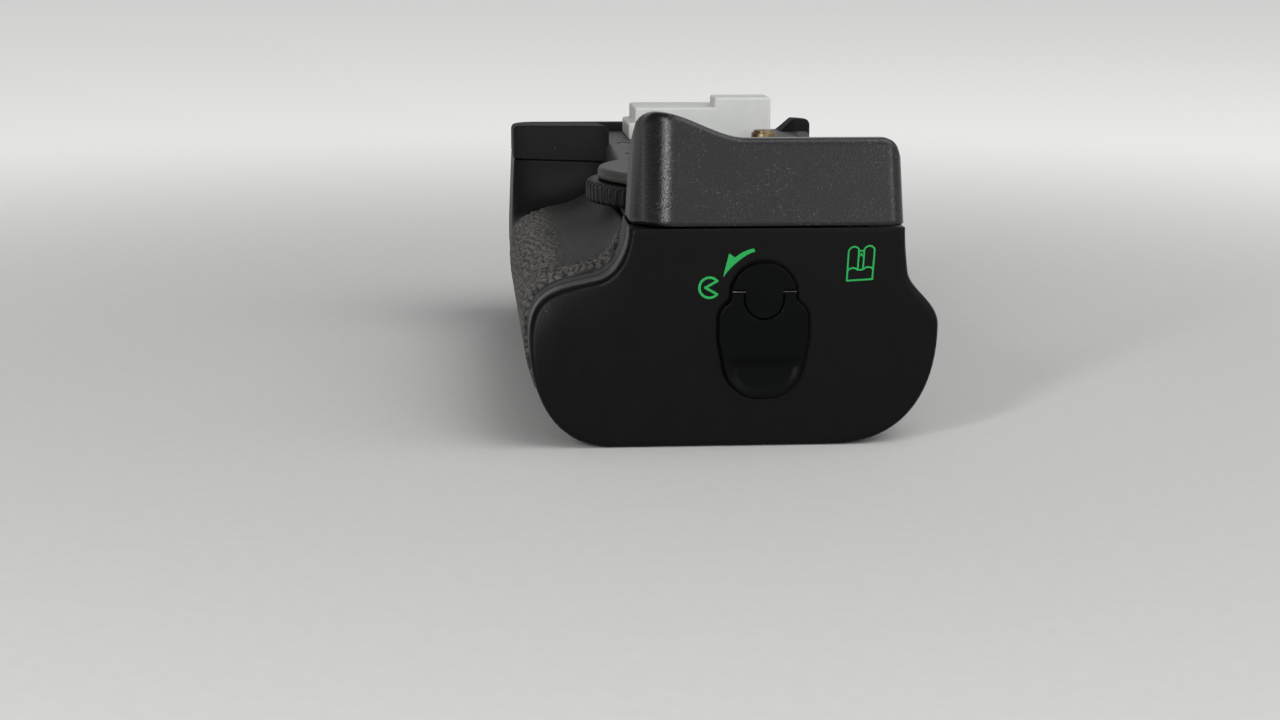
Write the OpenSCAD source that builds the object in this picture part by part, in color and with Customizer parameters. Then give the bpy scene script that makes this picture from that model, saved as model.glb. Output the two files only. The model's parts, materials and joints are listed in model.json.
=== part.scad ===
// Vertical battery grip for a camera, with a sliding battery magazine, a folding turn latch,
// a camera screw turned by a thumb wheel, and a second set of release controls.
// X runs along the grip towards the magazine end, -Y faces the lens side, Z is up.
// The origin is the mouth of the tripod socket, under the camera screw.

/* [Body] */
// Distance from the camera screw to the magazine end
near_x = 66; // [64:0.5:72]
// Length of the control end beyond the battery chamber
control_l = 29; // [28.5:0.1:36]
// Reach of the lower body towards the lens side
front_y = 38.9; // [37.5:0.1:42]
// Reach of the lower body towards the back
rear_y = 34.4; // [33.5:0.1:37]
// Reach of the upper body towards the lens side, beside the thumb wheel
waist_y = 17.5; // [17.4:0.1:19]
// Reach of the upper body towards the lens side, at the magazine end
cheek_y = 21.2; // [20:0.1:22.5]
// Reach of the upper body towards the back
back_y = 28; // [27.5:0.1:29.5]
// Thickness of the moulded covers
wall = 2; // [1.6:0.1:2.2]
// Gap at the parting lines
seam_gap = 0.3; // [0.2:0.05:0.4]
// Height of the shoulder under the thumb wheel
shoulder_z = 30; // [28:0.5:31]
// Drop from the camera seat to the parting line
seam_drop = 4.1; // [4:0.1:4.8]
// Rise of the magazine end's rim above the camera seat
rim_rise = 11.4; // [9:0.1:14]
// Extra rise of the rim on the lens side
hump_rise = 4.5; // [3:0.5:6]
// Rise of the low rim round the control end of the seat
lip_rise = 2; // [1.5:0.1:3]
// Radius of the control end's edges
end_r = 6; // [4:0.5:7]
// Radius of the magazine cap's front edge
cap_r = 1.5; // [1:0.1:3.5]

/* [Magazine] */
// Diameter of a battery cell
cell_d = 14.5; // [14:0.1:14.8]
// Length of a battery cell over its button
cell_l = 50.5; // [49:0.1:51]
// Depth of the magazine's end cap
cap_t = 7; // [6.5:0.1:8]
// Sliding clearance round the magazine
slide_gap = 0.3; // [0.2:0.05:0.4]
// Thickness of the battery chamber's walls
chamber_wall = 1.2; // [1:0.1:1.5]

/* [Latch] */
// Height of the latch's pivot
latch_z = 27.5; // [26:0.1:28.5]
// Radius of the latch's round plate
latch_r = 6; // [5.5:0.1:6.5]
// Width of the folding handle
handle_w = 16.4; // [15:0.1:17]
// Length of the folding handle below the pivot
handle_l = 19; // [17:0.1:20]
// Thickness of the folding handle and its plate
handle_t = 2.2; // [2:0.1:2.6]

/* [Camera screw] */
// Radius of the 1/4 inch camera screw
screw_r = 3.175; // [3.1:0.005:3.2]
// Length of the screw above the seat
screw_out = 5; // [4.5:0.1:5.5]
// Radius of the thumb wheel
wheel_r = 25; // [24:0.1:26]
// Thickness of the thumb wheel
wheel_t = 4.2; // [3.8:0.1:4.6]
// Number of ribs round the thumb wheel
wheel_ribs = 72; // [48:1:90]
// Tapping radius of the tripod socket
socket_r = 2.65; // [2.5:0.05:2.8]
// Depth of the tripod socket
socket_depth = 4.4; // [4:0.1:5]

/* [Controls] */
// Radius of the release button
release_r = 6; // [5.5:0.1:6.4]
// Travel of the release button
release_travel = 1.5; // [1:0.1:2]
// Radius of the control dial
dial_r = 9; // [8:0.1:9.5]
// Width of the control dial
dial_w = 9; // [7:0.1:10]
// Radius of the two rear buttons
button_r = 3.5; // [3:0.1:3.8]
// Thickness of the grip rubber
rubber_t = 0.7; // [0.6:0.1:1.2]

/* [Hidden] */
$fn = 48;
hull_fn = 32;
run_gap = 0.3;      // between parts that turn or slide past each other
seat_gap = 0.15;    // between parts that seat on each other
pin_gap = 0.05;     // round a pin or shaft that turns
eps = 0.01;

// Heights, stacked from the base up to the camera seat
floor_t = 0.8;
plate_t = 2.2;
bush_gap = 0.1;
cell_pitch_z = cell_d + 0.2;
tray_h = cell_d + cell_pitch_z + 0.6;
floor_z = socket_depth + bush_gap + floor_t;
tray_z0 = floor_z + slide_gap;
tray_z1 = tray_z0 + tray_h;
roof_z = tray_z1 + slide_gap;
chamber_top = roof_z + floor_t;
wheel_z = chamber_top + run_gap;
wheel_top = wheel_z + wheel_t;
plate_z = wheel_top + run_gap + 0.1;
seat_z = plate_z + plate_t;
seam_z = seat_z - seam_drop;
upper_z = seam_z + seam_gap / 2;
lower_z = seam_z - seam_gap / 2;
rim_z = seat_z + rim_rise;
hump_z = rim_z + hump_rise;
lip_z = seat_z + lip_rise;

// Magazine, along its slide
tray_wall = 2;
contact_room = 2;
bay_l = cell_l + contact_room;
cap_x = near_x - cap_t;
tray_x1 = cap_x;
tray_x0 = tray_x1 - 2 * bay_l - 3 * tray_wall;
mid_x = tray_x1 - tray_wall - bay_l - tray_wall;
web_t = 1.6;
cell_y = web_t / 2 + 0.15 + cell_d / 2;
tray_half = cell_y + cell_d / 2 + 0.45;
chamber_y = 2.7;
chamber_half = tray_half + slide_gap;
chamber_out = chamber_half + chamber_wall;
terminal_room = 3.8;
chamber_end = tray_x0 - terminal_room;
chamber_back = chamber_end - chamber_wall;
cap_gap = 0.5;
shell_x1 = cap_x - cap_gap;
far_x = control_l - chamber_back;
end_cover_l = 10;
end_x = -far_x + end_cover_l;
shell_x0 = end_x + seam_gap / 2;

// Cross-section of the lower body
belly_z = 20;
shoulder_in = 11.7;
base_front = 24;
base_rear = 15.5;
base_t = 2;
rear_belly_z = 21.5;
rear_shoulder_z = 31.5;
block_front = front_y - 0.7;
block_rear = rear_y - 1.1;
cheek_start = 41;
cheek_end = 16;
cheek_x0 = near_x - cheek_start;
cheek_x1 = near_x - cheek_end;
block_l = 28;
rear_block_l = 38;
block_run = 10;
block_x0 = far_x - block_l - block_run;
rear_x0 = far_x - rear_block_l - block_run;
curve_steps = 7;

function smooth(t) = let (c = min(1, max(0, t))) c * c * (3 - 2 * c);
function mix(a, b, t) = a + (b - a) * t;
function unit(v) = v / norm(v);

// Shares of the magazine-end cheek, the lens-side block and the rear block at a station x
function cheek(x) = smooth((x - cheek_x0) / (cheek_x1 - cheek_x0));
function block(x) = smooth((-block_x0 - x) / block_run);
function rear_block(x) = smooth((-rear_x0 - x) / block_run);

// Front and back edges of the body at the parting line
function front_edge(x) = -waist_y - (cheek_y - waist_y) * cheek(x) - (block_front - waist_y) * block(x);
function rear_edge(x) = mix(back_y, block_rear, rear_block(x));

// Points of a cubic curve from a towards d, without d itself
function bezier(a, b, c, d, n) = [
    for (i = [0 : n - 1])
        let (t = i / n, u = 1 - t)
            u * u * u * a + 3 * u * u * t * b + 3 * u * t * t * c + t * t * t * d
];

// Open outline of the lower body in Y and Z: down the lens side, under the base and up the back
function body_curve(x) =
    let (f = block(x), r = rear_block(x), fy = front_edge(x), ry = rear_edge(x),
         shoulder = mix([-front_y + shoulder_in, shoulder_z], [-front_y + 0.3, shoulder_z], f),
         rear_shoulder = mix([back_y + 0.6, rear_shoulder_z], [rear_y, rear_shoulder_z], r))
    concat(
        bezier([fy, seam_z], [fy - 0.2, seam_z - 4.5],
               mix([-front_y + 15.7, shoulder_z + 0.8], [-front_y + 0.4, shoulder_z + 3], f),
               shoulder, curve_steps),
        bezier(shoulder, mix([-front_y + 5.9, shoulder_z - 1.4], [-front_y + 0.2, shoulder_z - 3], f),
               mix([-front_y, shoulder_z - 1.7], [-front_y, shoulder_z - 6], f),
               [-front_y, belly_z], curve_steps),
        bezier([-front_y, belly_z], [-front_y, belly_z - 11.5], [-base_front - 10, 0],
               [-base_front, 0], curve_steps),
        [[-base_front, 0]],
        bezier([base_rear, 0], [base_rear + 13, 0], [rear_y, rear_belly_z - 12.5],
               [rear_y, rear_belly_z], curve_steps),
        bezier([rear_y, rear_belly_z], [rear_y, rear_belly_z + 4.5],
               mix([back_y + 1, rear_shoulder_z - 3.5], [rear_y, rear_shoulder_z - 3.5], r),
               rear_shoulder, curve_steps),
        bezier(rear_shoulder,
               mix([back_y + 0.3, rear_shoulder_z + 2.5], [rear_y, rear_shoulder_z + 2.5], r),
               [ry, seam_z - 3], [ry, seam_z], 3),
        [[ry, seam_z]]
    );

// Moves an open outline inwards by d along its normals
function inset_curve(pts, d) =
    let (n = len(pts))
    [for (i = [0 : n - 1])
        let (t = unit(pts[min(n - 1, i + 1)] - pts[max(0, i - 1)]))
            pts[i] + d * [-t[1], t[0]]];

// Closed outline of the lower body, inset by d and closed flat at the height top
function body_section(x, d, top) =
    let (c = inset_curve(body_curve(x), d), n = len(c))
    [for (i = [0 : n - 1]) i == 0 || i == n - 1 ? [c[i][0], top] : c[i]];

function at_x(section, x) = [for (p = section) [x, p[0], p[1]]];

// Inset of a rounded edge of radius r at the distance u from the end
function edge_inset(u, r) = u >= r ? 0 : r - sqrt(max(0, r * r - (r - u) * (r - u)));

// Solid through sections that all have the same number of points, each end closed round its core
module loft(sections, first_core, last_core) {
    n = len(sections[0]);
    m = len(sections);
    points = concat([for (s = sections) each s], [first_core, last_core]);
    near_core = n * m;
    far_core = near_core + 1;
    faces = concat(
        [for (i = [0 : n - 1]) [near_core, (i + 1) % n, i]],
        [for (i = [0 : n - 1]) [far_core, (m - 1) * n + i, (m - 1) * n + (i + 1) % n]],
        [for (j = [0 : m - 2], i = [0 : n - 1])
            [j * n + i, j * n + (i + 1) % n, (j + 1) * n + (i + 1) % n]],
        [for (j = [0 : m - 2], i = [0 : n - 1])
            [j * n + i, (j + 1) * n + (i + 1) % n, (j + 1) * n + i]]
    );
    polyhedron(points, faces, convexity = 8);
}

module body_loft(sections) {
    last = len(sections) - 1;
    core_z = belly_z - 5;
    loft(sections, [sections[0][0][0], 0, core_z], [sections[last][0][0], 0, core_z]);
}

// Skin over a grid of outer points and the matching grid of inner points
module skin(outer, inner) {
    m = len(outer);
    n = len(outer[0]);
    points = concat([for (row = outer) each row], [for (row = inner) each row]);
    k = m * n;
    rim = concat(
        [for (i = [0 : n - 1]) i],
        [for (j = [1 : m - 1]) j * n + n - 1],
        [for (i = [n - 2 : -1 : 0]) (m - 1) * n + i],
        [for (j = [m - 2 : -1 : 1]) j * n]
    );
    q = len(rim);
    faces = concat(
        [for (j = [0 : m - 2], i = [0 : n - 2]) [j * n + i, j * n + i + 1, (j + 1) * n + i + 1]],
        [for (j = [0 : m - 2], i = [0 : n - 2]) [j * n + i, (j + 1) * n + i + 1, (j + 1) * n + i]],
        [for (j = [0 : m - 2], i = [0 : n - 2])
            [k + j * n + i, k + (j + 1) * n + i + 1, k + j * n + i + 1]],
        [for (j = [0 : m - 2], i = [0 : n - 2])
            [k + j * n + i, k + (j + 1) * n + i, k + (j + 1) * n + i + 1]],
        [for (i = [0 : q - 1]) [rim[i], k + rim[i], k + rim[(i + 1) % q]]],
        [for (i = [0 : q - 1]) [rim[i], k + rim[(i + 1) % q], rim[(i + 1) % q]]]
    );
    polyhedron(points, faces, convexity = 8);
}

// Stations along the covers, close together only where the section changes
cheek_steps = [0, 0.32, 0.64, 1];
block_steps = [0, 0.18, 0.29, 0.42, 0.54, 0.66, 0.78, 0.89, 1];
stations = concat(
    [shell_x1],
    [for (t = cheek_steps) mix(cheek_x1, cheek_x0, t)],
    [for (t = block_steps) mix(-rear_x0, -block_x0 - block_run, t)],
    [shell_x0]
);

module body_block(d, top, grow) {
    n = len(stations);
    body_loft([for (i = [0 : n - 1])
        let (x = stations[i], reach = i == 0 ? grow : i == n - 1 ? -grow : 0)
            at_x(body_section(x, d, top), x + reach)]);
}

module slab(low, high) {
    translate(low) cube(high - low);
}

module rod_x(x0, x1, y, z, r) {
    translate([x0, y, z]) rotate([0, 90, 0]) cylinder(r = r, h = x1 - x0);
}

module rod_y(y0, y1, x, z, r) {
    translate([x, y1, z]) rotate([90, 0, 0]) cylinder(r = r, h = y1 - y0);
}

// Ring of the space that the thumb wheel turns in
wheel_gap = 0.6;
module wheel_space() {
    z0 = wheel_z - run_gap - eps;
    translate([0, 0, z0]) cylinder(r = wheel_r + wheel_gap, h = plate_z - z0);
}

// Covers of the lower body
module cover_shell() {
    difference() {
        body_block(0, lower_z, 0);
        body_block(wall, seam_z + 6, 1);
        slab([shell_x0 - 1, -base_front - seat_gap, -1],
             [shell_x1 + 1, base_rear + seat_gap, base_t + seat_gap]);
        wheel_space();
    }
}

module front_cover() {
    color("#1d1e1f") intersection() {
        cover_shell();
        slab([-far_x, -front_y - 5, -1], [near_x, -eps, seam_z]);
    }
}

module rear_cover() {
    color("#1d1e1f") difference() {
        intersection() {
            cover_shell();
            slab([-far_x, eps, -1], [near_x, rear_y + 5, seam_z]);
        }
        for (x = button_xs) rod_y(rear_y - wall - 2, rear_y + 2, x, button_z, button_r + 0.2);
        switch_pocket();
    }
}

module base_plate() {
    color("#1d1e1f") difference() {
        slab([shell_x0, -base_front, 0], [shell_x1, base_rear, base_t]);
        translate([0, 0, -1]) cylinder(r = bush_r + seat_gap, h = base_t + 2);
        for (p = base_screw_places) translate([p[0], p[1], 0]) {
            translate([0, 0, -1]) cylinder(r = screw_shank_r + 0.15, h = base_t + 2);
            translate([0, 0, -1]) cylinder(r = screw_head_r + seat_gap, h = 1 + screw_head_t + 0.2);
        }
    }
}

// Upper cover: camera seat, rim at the magazine end and low rim at the control end
near_front_r = 8;
near_rear_r = 5;
rim_lean = 2.6;
face_step = 0.3;
crest_w = 3;
slope_l = 41;
rim_x = near_x - slope_l - rim_lean;
rim_hollow = 24;
rim_wall = 6;
slope_steps = 8;

function arc(c, r, a0, a1, n) = [
    for (i = [0 : n]) let (a = a0 + (a1 - a0) * i / n) c + r * [cos(a), sin(a)]
];

// Plan of the body at the parting line, anticlockwise from the magazine end's lens-side corner
plan_xs = [for (x = stations) if (x < near_x - near_front_r && x > -far_x + end_r) x];
function plan_points() =
    let (nf = front_edge(near_x), ff = front_edge(-far_x), fr = rear_edge(-far_x), nr = rear_edge(near_x))
    concat(
        [for (x = plan_xs) [x, front_edge(x)]],
        arc([-far_x + end_r, ff + end_r], end_r, 270, 180, 6),
        arc([-far_x + end_r, fr - end_r], end_r, 180, 90, 6),
        [for (i = [len(plan_xs) - 1 : -1 : 0]) [plan_xs[i], rear_edge(plan_xs[i])]],
        arc([near_x - near_rear_r, nr - near_rear_r], near_rear_r, 90, 0, 6),
        arc([near_x - near_front_r, nf + near_front_r], near_front_r, 0, -90, 8)
    );

// Moves a closed outline inwards by d along its normals
function inset_loop(pts, d) =
    let (n = len(pts))
    [for (i = [0 : n - 1])
        let (t = unit(pts[(i + 1) % n] - pts[(i + n - 1) % n]))
            pts[i] + d * [t[1], -t[0]]];

module plan(d, z0, z1) {
    translate([0, 0, z0]) linear_extrude(z1 - z0) polygon(inset_loop(plan_points(), d));
}

// Height of the rim's crest: hump on the lens side, saddle, flat crest and rounded back corner
hump_r = 4.5;
saddle_w = 18;
crest_r = 3.5;
rim_front = -cheek_y + 0.4;
rim_back = back_y - 0.8;
function corner_drop(u, r) = r - sqrt(max(0, r * r - u * u));
function rim_top(y) =
    y < rim_front + hump_r ? hump_z - corner_drop(min(hump_r, rim_front + hump_r - y), hump_r) :
    y > rim_back - crest_r ? rim_z - corner_drop(min(crest_r, y - rim_back + crest_r), crest_r) :
    mix(hump_z, rim_z, smooth((y - rim_front - hump_r) / saddle_w));

// Side view of the rim at y: leaning end face, thin crest and hollow slope down to the seat
function rim_face(z) = near_x - face_step - rim_lean * (z - upper_z) / (hump_z - upper_z);
function rim_section(y) =
    let (top = rim_top(y), face = rim_face(top), crest = face - crest_w)
    concat(
        [[rim_x, upper_z], [rim_face(upper_z), upper_z], [rim_face(top - 1), top - 1],
         [face - 0.4, top - 0.3], [face - 1.2, top], [crest, top - 0.2]],
        [for (i = [1 : slope_steps])
            let (t = i / slope_steps)
                [mix(crest, rim_x, t), seat_z + (top - 0.2 - seat_z) * pow(1 - t, 1.5)]]
    );

module rim_body() {
    ys = concat(
        [-cheek_y - 1],
        [for (t = [0.02, 0.1, 0.25, 0.5, 1]) rim_front + t * hump_r],
        [for (t = [1 : 8]) rim_front + hump_r + saddle_w * t / 8],
        [for (t = [1, 0.5, 0.25, 0.1, 0.02]) rim_back - t * crest_r],
        [back_y + 1]
    );
    core = [near_x - rim_wall - wall, seam_z + wall];
    loft([for (y = ys) [for (p = rim_section(y)) [p[0], y, p[1]]]],
         [core[0], ys[0], core[1]], [core[0], ys[len(ys) - 1], core[1]]);
}

// Seat pocket inside the low rim, with a sloped back side
lip_w = 5;
lug_l = 8;
block_in = 16.9;
lip_slope = 2.2;
lip_end = 10;
lug_w = 6;
lug_rise = 0.9;
back_fall = 2.4;
block_rise = 2.1;
brow_in = 2.4;
crown_z = lip_z + block_rise;
module seat_pocket() {
    x0 = -far_x + lip_w;
    y1 = rear_y - lug_w;
    rise = lip_rise + block_rise + 1;
    slab([x0, -block_in, seat_z], [near_x, y1 - lip_slope, crown_z + 1]);
    slab([-block_x0, -front_y, seat_z], [near_x, rear_y, crown_z + 1]);
    slab([-far_x + lug_l, chamber_y, seat_z], [near_x, rear_y + 1, crown_z + 1]);
    slab([-far_x - 1, lip_end, seat_z], [near_x, y1 - lip_slope, crown_z + 1]);
    translate([-far_x - 1, y1 - lip_slope, seat_z]) rotate([90, 0, 90]) linear_extrude(far_x + near_x)
        polygon([[-eps, 0], [0, 0], [lip_slope * rise / lip_rise, rise], [-eps, rise]]);
}

// Side view of the low rim: level round the control end, rising to the lens-side block's near face
module lip_rise_shape() {
    x1 = -block_x0;
    translate([0, rear_y, 0]) rotate([90, 0, 0]) linear_extrude(front_y + rear_y)
        polygon([[-far_x, seat_z - 1], [x1, seat_z - 1], [x1, crown_z],
                 [-far_x + lip_w, lip_z], [-far_x, lip_z]]);
}

// Slope along the back edge of the seat, up to the lug at the control end
module back_slope() {
    fall = back_fall / (block_rear - back_y);
    y1 = rear_y + 1;
    translate([-far_x + lug_l, 0, 0]) rotate([90, 0, 90]) linear_extrude(far_x + near_x)
        polygon([[back_y, seat_z], [y1, seat_z - fall * (y1 - back_y)],
                 [y1, lip_z + 1], [back_y, lip_z + 1]]);
}

module top_cover() {
    color("#232425") difference() {
        union() {
            intersection() {
                plan(0, upper_z, seat_z);
                slab([-far_x, -front_y, upper_z], [rim_x - seat_gap, rear_y, seat_z]);
            }
            difference() {
                intersection() {
                    plan(0, seat_z - 1, crown_z);
                    union() {
                        lip_rise_shape();
                        slab([-far_x, lip_end, seat_z - 1], [-far_x + lug_l, rear_y, lip_z + lug_rise]);
                    }
                }
                seat_pocket();
            }
            intersection() {
                translate([0, 0, plate_z]) cylinder(r = wheel_r - brow_in, h = plate_t);
                slab([-wheel_r, -wheel_r, plate_z], [wheel_r, -waist_y + 2, seat_z]);
            }
        }
        back_slope();
        plan(wall, upper_z - 1, plate_z);
        wheel_space();
        translate([0, 0, plate_z - 1]) cylinder(r = collar_r + 0.3, h = plate_t + 2);
        contact_pocket(seat_gap);
        translate([stud_place[0], stud_place[1], plate_z - 1])
            cylinder(r = guide_r + seat_gap, h = plate_t + 2);
        for (p = seat_screw_places) translate([p[0], p[1], 0]) {
            translate([0, 0, plate_z - 1]) cylinder(r = screw_shank_r + 0.15, h = plate_t + 2);
            translate([0, 0, seat_z - screw_head_t - 0.2]) cylinder(r = screw_head_r + seat_gap, h = 2);
        }
    }
}

// Rim at the magazine end, hollow inside
module end_rim() {
    color("#232425") difference() {
        intersection() {
            plan(0, upper_z, hump_z + 2);
            rim_body();
        }
        difference() {
            plan(wall, upper_z - 1, plate_z);
            slab([0, -front_y, 0], [rim_x + wall, rear_y, hump_z]);
        }
        slab([near_x - rim_hollow, -cheek_y + rim_wall, upper_z - 1],
             [near_x - rim_wall, back_y - rim_wall, seat_z + rim_rise / 3]);
        wheel_space();
    }
}

// Control end: a rounded cup that carries the release button and the dial
module end_loft(d, top, x_far) {
    steps = [0, 0.12, 0.3, 0.55, 0.8, 1];
    r = end_r - d;
    body_loft(concat(
        [at_x(body_section(end_x, d, top), end_x - seam_gap / 2 + (d > 0 ? 1 : 0))],
        [for (s = [len(steps) - 1 : -1 : 0])
            let (u = steps[s] * r, x = x_far + u)
                at_x(body_section(-far_x + end_r, d + edge_inset(u, r) * 0.96, top), x)]
    ));
}

dial_y = -7.5;
dial_z = 24;
dial_out = 2.2;
dial_x = -far_x + dial_r - dial_out;
axle_r = 1.5;
ear_t = 2.5;
ear_gap = 0.4;
release_y = -24;
release_z = 22;
bezel_w = 2;
bezel_out = 1.2;
bezel_deep = 3.5;

module control_end_cover() {
    ear_in = dial_w / 2 + ear_gap;
    color("#1d1e1f") difference() {
        union() {
            difference() {
                end_loft(0, lower_z, -far_x);
                end_loft(wall, seam_z + 6, -far_x + wall);
            }
            for (side = [-1, 1])
                slab([-far_x + wall - 0.5, dial_y + side * (ear_in + ear_t / 2) - ear_t / 2, dial_z - 4],
                     [dial_x + 4, dial_y + side * (ear_in + ear_t / 2) + ear_t / 2, dial_z + 4]);
        }
        slab([-far_x - 1, dial_y - ear_in, dial_z - dial_r + 0.5],
             [-far_x + wall + 0.5, dial_y + ear_in, dial_z + dial_r - 0.5]);
        rod_y(dial_y - dial_w, dial_y + dial_w, dial_x, dial_z, axle_r + pin_gap);
        rod_x(-far_x - 1, -far_x + wall + 1, release_y, release_z, release_r + bezel_w + seat_gap);
    }
}

// Inner frame: battery chamber with a flange at each end that carries the covers
screw_head_r = 2.4;
screw_head_t = 1.3;
screw_shank_r = 1.1;
boss_r = 2.6;
flange_t = 2.2;
base_screw_places = [for (x = [cap_x - 12, chamber_end + 10], y = [-10, 11]) [x, y]];
boss_clear = 0.4;
screw_ring = wheel_r + wheel_gap + boss_r + boss_clear;
far_screws = [[40, 9.3], [36, -14.7]];
seat_screw_places = concat([for (a = [146, 205]) screw_ring * [cos(a), sin(a)]],
                           [for (p = far_screws) [-far_x, chamber_y] + p]);

module chamber_flange(x0, x1) {
    xm = (x0 + x1) / 2;
    rotate([90, 0, 90]) translate([0, 0, x0]) linear_extrude(x1 - x0)
        polygon(body_section(xm, wall + seat_gap, lower_z - seat_gap));
}

flange_gap = 0.5;
wire_r = 4;
near_frame_x = shell_x1 - flange_t;
flange_x0 = min(chamber_back - seat_gap, -block_x0 - block_run - flange_gap) - flange_t;

// Tube that the magazine slides in, closed at its inner end, with screw bosses
module battery_chamber() {
    color("#2a2b2c") difference() {
        union() {
            slab([chamber_back, chamber_y - chamber_out, floor_z - floor_t],
                 [near_frame_x - seat_gap, chamber_y + chamber_out, chamber_top]);
            for (p = base_screw_places)
                translate([p[0], p[1], base_t]) cylinder(r = boss_r, h = floor_z - floor_t - base_t + eps);
            for (p = seat_screw_places)
                translate([p[0], p[1], roof_z]) cylinder(r = boss_r, h = plate_z - roof_z);
        }
        slab([chamber_end, chamber_y - chamber_half, floor_z],
             [near_x, chamber_y + chamber_half, roof_z]);
        for (p = base_screw_places)
            translate([p[0], p[1], base_t - 1])
                cylinder(r = screw_shank_r + pin_gap, h = 1 + screw_head_t + screw_len - base_t + 0.5);
        for (p = seat_screw_places)
            translate([p[0], p[1], roof_z + floor_t / 2])
                cylinder(r = screw_shank_r + pin_gap, h = plate_z - roof_z);
    }
}

// Frame round the chamber's mouth, which carries the covers
module near_frame() {
    color("#2a2b2c") difference() {
        intersection() {
            chamber_flange(near_frame_x, shell_x1);
            slab([0, -front_y, base_t + seat_gap], [near_x, rear_y, seam_z]);
        }
        slab([near_frame_x - 1, chamber_y - chamber_half, floor_z],
             [near_x, chamber_y + chamber_half, roof_z]);
    }
}

// Bulkhead between the battery chamber and the control end
module far_frame() {
    color("#2a2b2c") difference() {
        intersection() {
            chamber_flange(flange_x0, flange_x0 + flange_t);
            slab([-far_x, -front_y, base_t + seat_gap], [0, rear_y, seam_z]);
        }
        rod_x(flange_x0 - 1, flange_x0 + flange_t + 1, chamber_y, seam_z / 2, wire_r);
    }
}

module screw(head_z, up) {
    mirror([0, 0, up ? 0 : 1]) translate([0, 0, up ? head_z : -head_z]) {
        difference() {
            translate([0, 0, -screw_head_t]) cylinder(r = screw_head_r, h = screw_head_t);
            slab([-1.7, -0.25, -0.6], [1.7, 0.25, 1]);
            slab([-0.25, -1.7, -0.6], [0.25, 1.7, 1]);
        }
        translate([0, 0, -screw_head_t - screw_len]) cylinder(r = screw_shank_r, h = screw_len + eps);
    }
}

screw_len = 2.5;
module base_screws() {
    color("#6f7072") for (p = base_screw_places) translate([p[0], p[1], 0]) screw(0.2, false);
}

module seat_screws() {
    color("#6f7072") for (p = seat_screw_places) translate([p[0], p[1], 0]) screw(seat_z - 0.1, true);
}

// Grip rubber on the lens side and thumb rubber on the back
rubber_x0 = -block_x0 + 2;
rubber_x1 = near_x - 14;
rubber_steps = 8;
thumb_x0 = -rear_x0 + 3;
thumb_x1 = thumb_x0 + 37;

function rubber_rows(x0, x1, i0, i1, d) = [
    for (s = [0 : rubber_steps])
        let (x = mix(x1, x0, s / rubber_steps), c = inset_curve(body_curve(x), -d))
            [for (i = [i0 : i1]) [x, c[i][0], c[i][1]]]
];

module front_grip_rubber() {
    color("#2b2a29") skin(rubber_rows(rubber_x0, rubber_x1, 3, 3 * curve_steps - 3, rubber_t),
                          rubber_rows(rubber_x0, rubber_x1, 3, 3 * curve_steps - 3, 0.08));
}

module thumb_rubber() {
    first = 3 * curve_steps + 4;
    color("#2b2a29") skin(rubber_rows(thumb_x0, thumb_x1, first, first + 8, rubber_t - 0.2),
                          rubber_rows(thumb_x0, thumb_x1, first, first + 8, 0.08));
}

// Camera contacts at the control end of the seat, their cover and the locating stud
contact_edge = 12;
contact_l = 12;
block_lip = 2;
block_sink = 1;
contact_x0 = -far_x + contact_edge;
contact_x1 = contact_x0 + contact_l;
contact_y0 = -7;
contact_y1 = 18;
contact_h = 3.5;
contact_count = 8;
contact_r = 0.9;
contact_out = 1.4;
contact_travel = 1.2;
cover_gap = 0.3;
stud_place = [contact_x1 + 9, contact_y1 + 0.8];
guide_r = 2.85;
guide_out = 2.6;
stud_lip = 1.2;
stud_step = 0.5;

module contact_pocket(gap) {
    slab([contact_x0 - gap, contact_y0 - gap, plate_z - 1],
         [contact_x1 + gap, contact_y1 + gap, seat_z + 1]);
}

function contact_place(i) = [(contact_x0 + contact_x1) / 2 + (i % 2 == 0 ? -2 : 2),
                             mix(contact_y0 + 3, contact_y1 - 3, i / (contact_count - 1))];

module contact_block() {
    color("#161616") difference() {
        union() {
            slab([contact_x0, contact_y0, plate_z - block_sink],
                 [contact_x1, contact_y1, seat_z + contact_h]);
            slab([contact_x0 - block_lip, contact_y0 - block_lip, plate_z - block_sink],
                 [contact_x1 + block_lip, contact_y1 + block_lip, plate_z - seat_gap]);
        }
        for (i = [0 : contact_count - 1])
            translate([contact_place(i)[0], contact_place(i)[1], seat_z - 1])
                cylinder(r = contact_r + pin_gap, h = contact_h + 2);
    }
}

module contact_pins() {
    z0 = seat_z - 1 + contact_travel + 0.2;
    length = seat_z + contact_h + contact_out - contact_r - z0;
    color("#c9a24a") for (i = [0 : contact_count - 1])
        translate([contact_place(i)[0], contact_place(i)[1], z0]) {
            cylinder(r = contact_r, h = length);
            translate([0, 0, length]) sphere(r = contact_r);
        }
}

cover_y0 = contact_y0 - 4.8;
cover_y1 = contact_y1 + 3.1;
cover_x0 = contact_x0 - 3.5;
cover_x1 = contact_x1 + 3.5;
flange_h = 3.8;
flange_w = 1.5;
cover_h = 7.3;
tab_w = 13;
tab_l = 10;
tab_h = 2.3;

module contact_cover() {
    inner = seat_z + contact_h + contact_out + 0.5;
    color([0.92, 0.94, 0.93, 0.6]) difference() {
        union() {
            slab([cover_x0, cover_y0, seat_z + pin_gap], [cover_x1, cover_y1, seat_z + flange_h]);
            slab([cover_x0 + flange_w, cover_y0 + flange_w, seat_z + 1],
                 [cover_x1, cover_y1, seat_z + cover_h]);
            slab([cover_x1 - tab_l, cover_y1 - tab_w, seat_z + 1],
                 [cover_x1, cover_y1, seat_z + cover_h + tab_h]);
        }
        slab([contact_x0 - cover_gap, contact_y0 - cover_gap, seat_z - 1],
             [contact_x1 + cover_gap, contact_y1 + cover_gap, inner]);
    }
}

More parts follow.
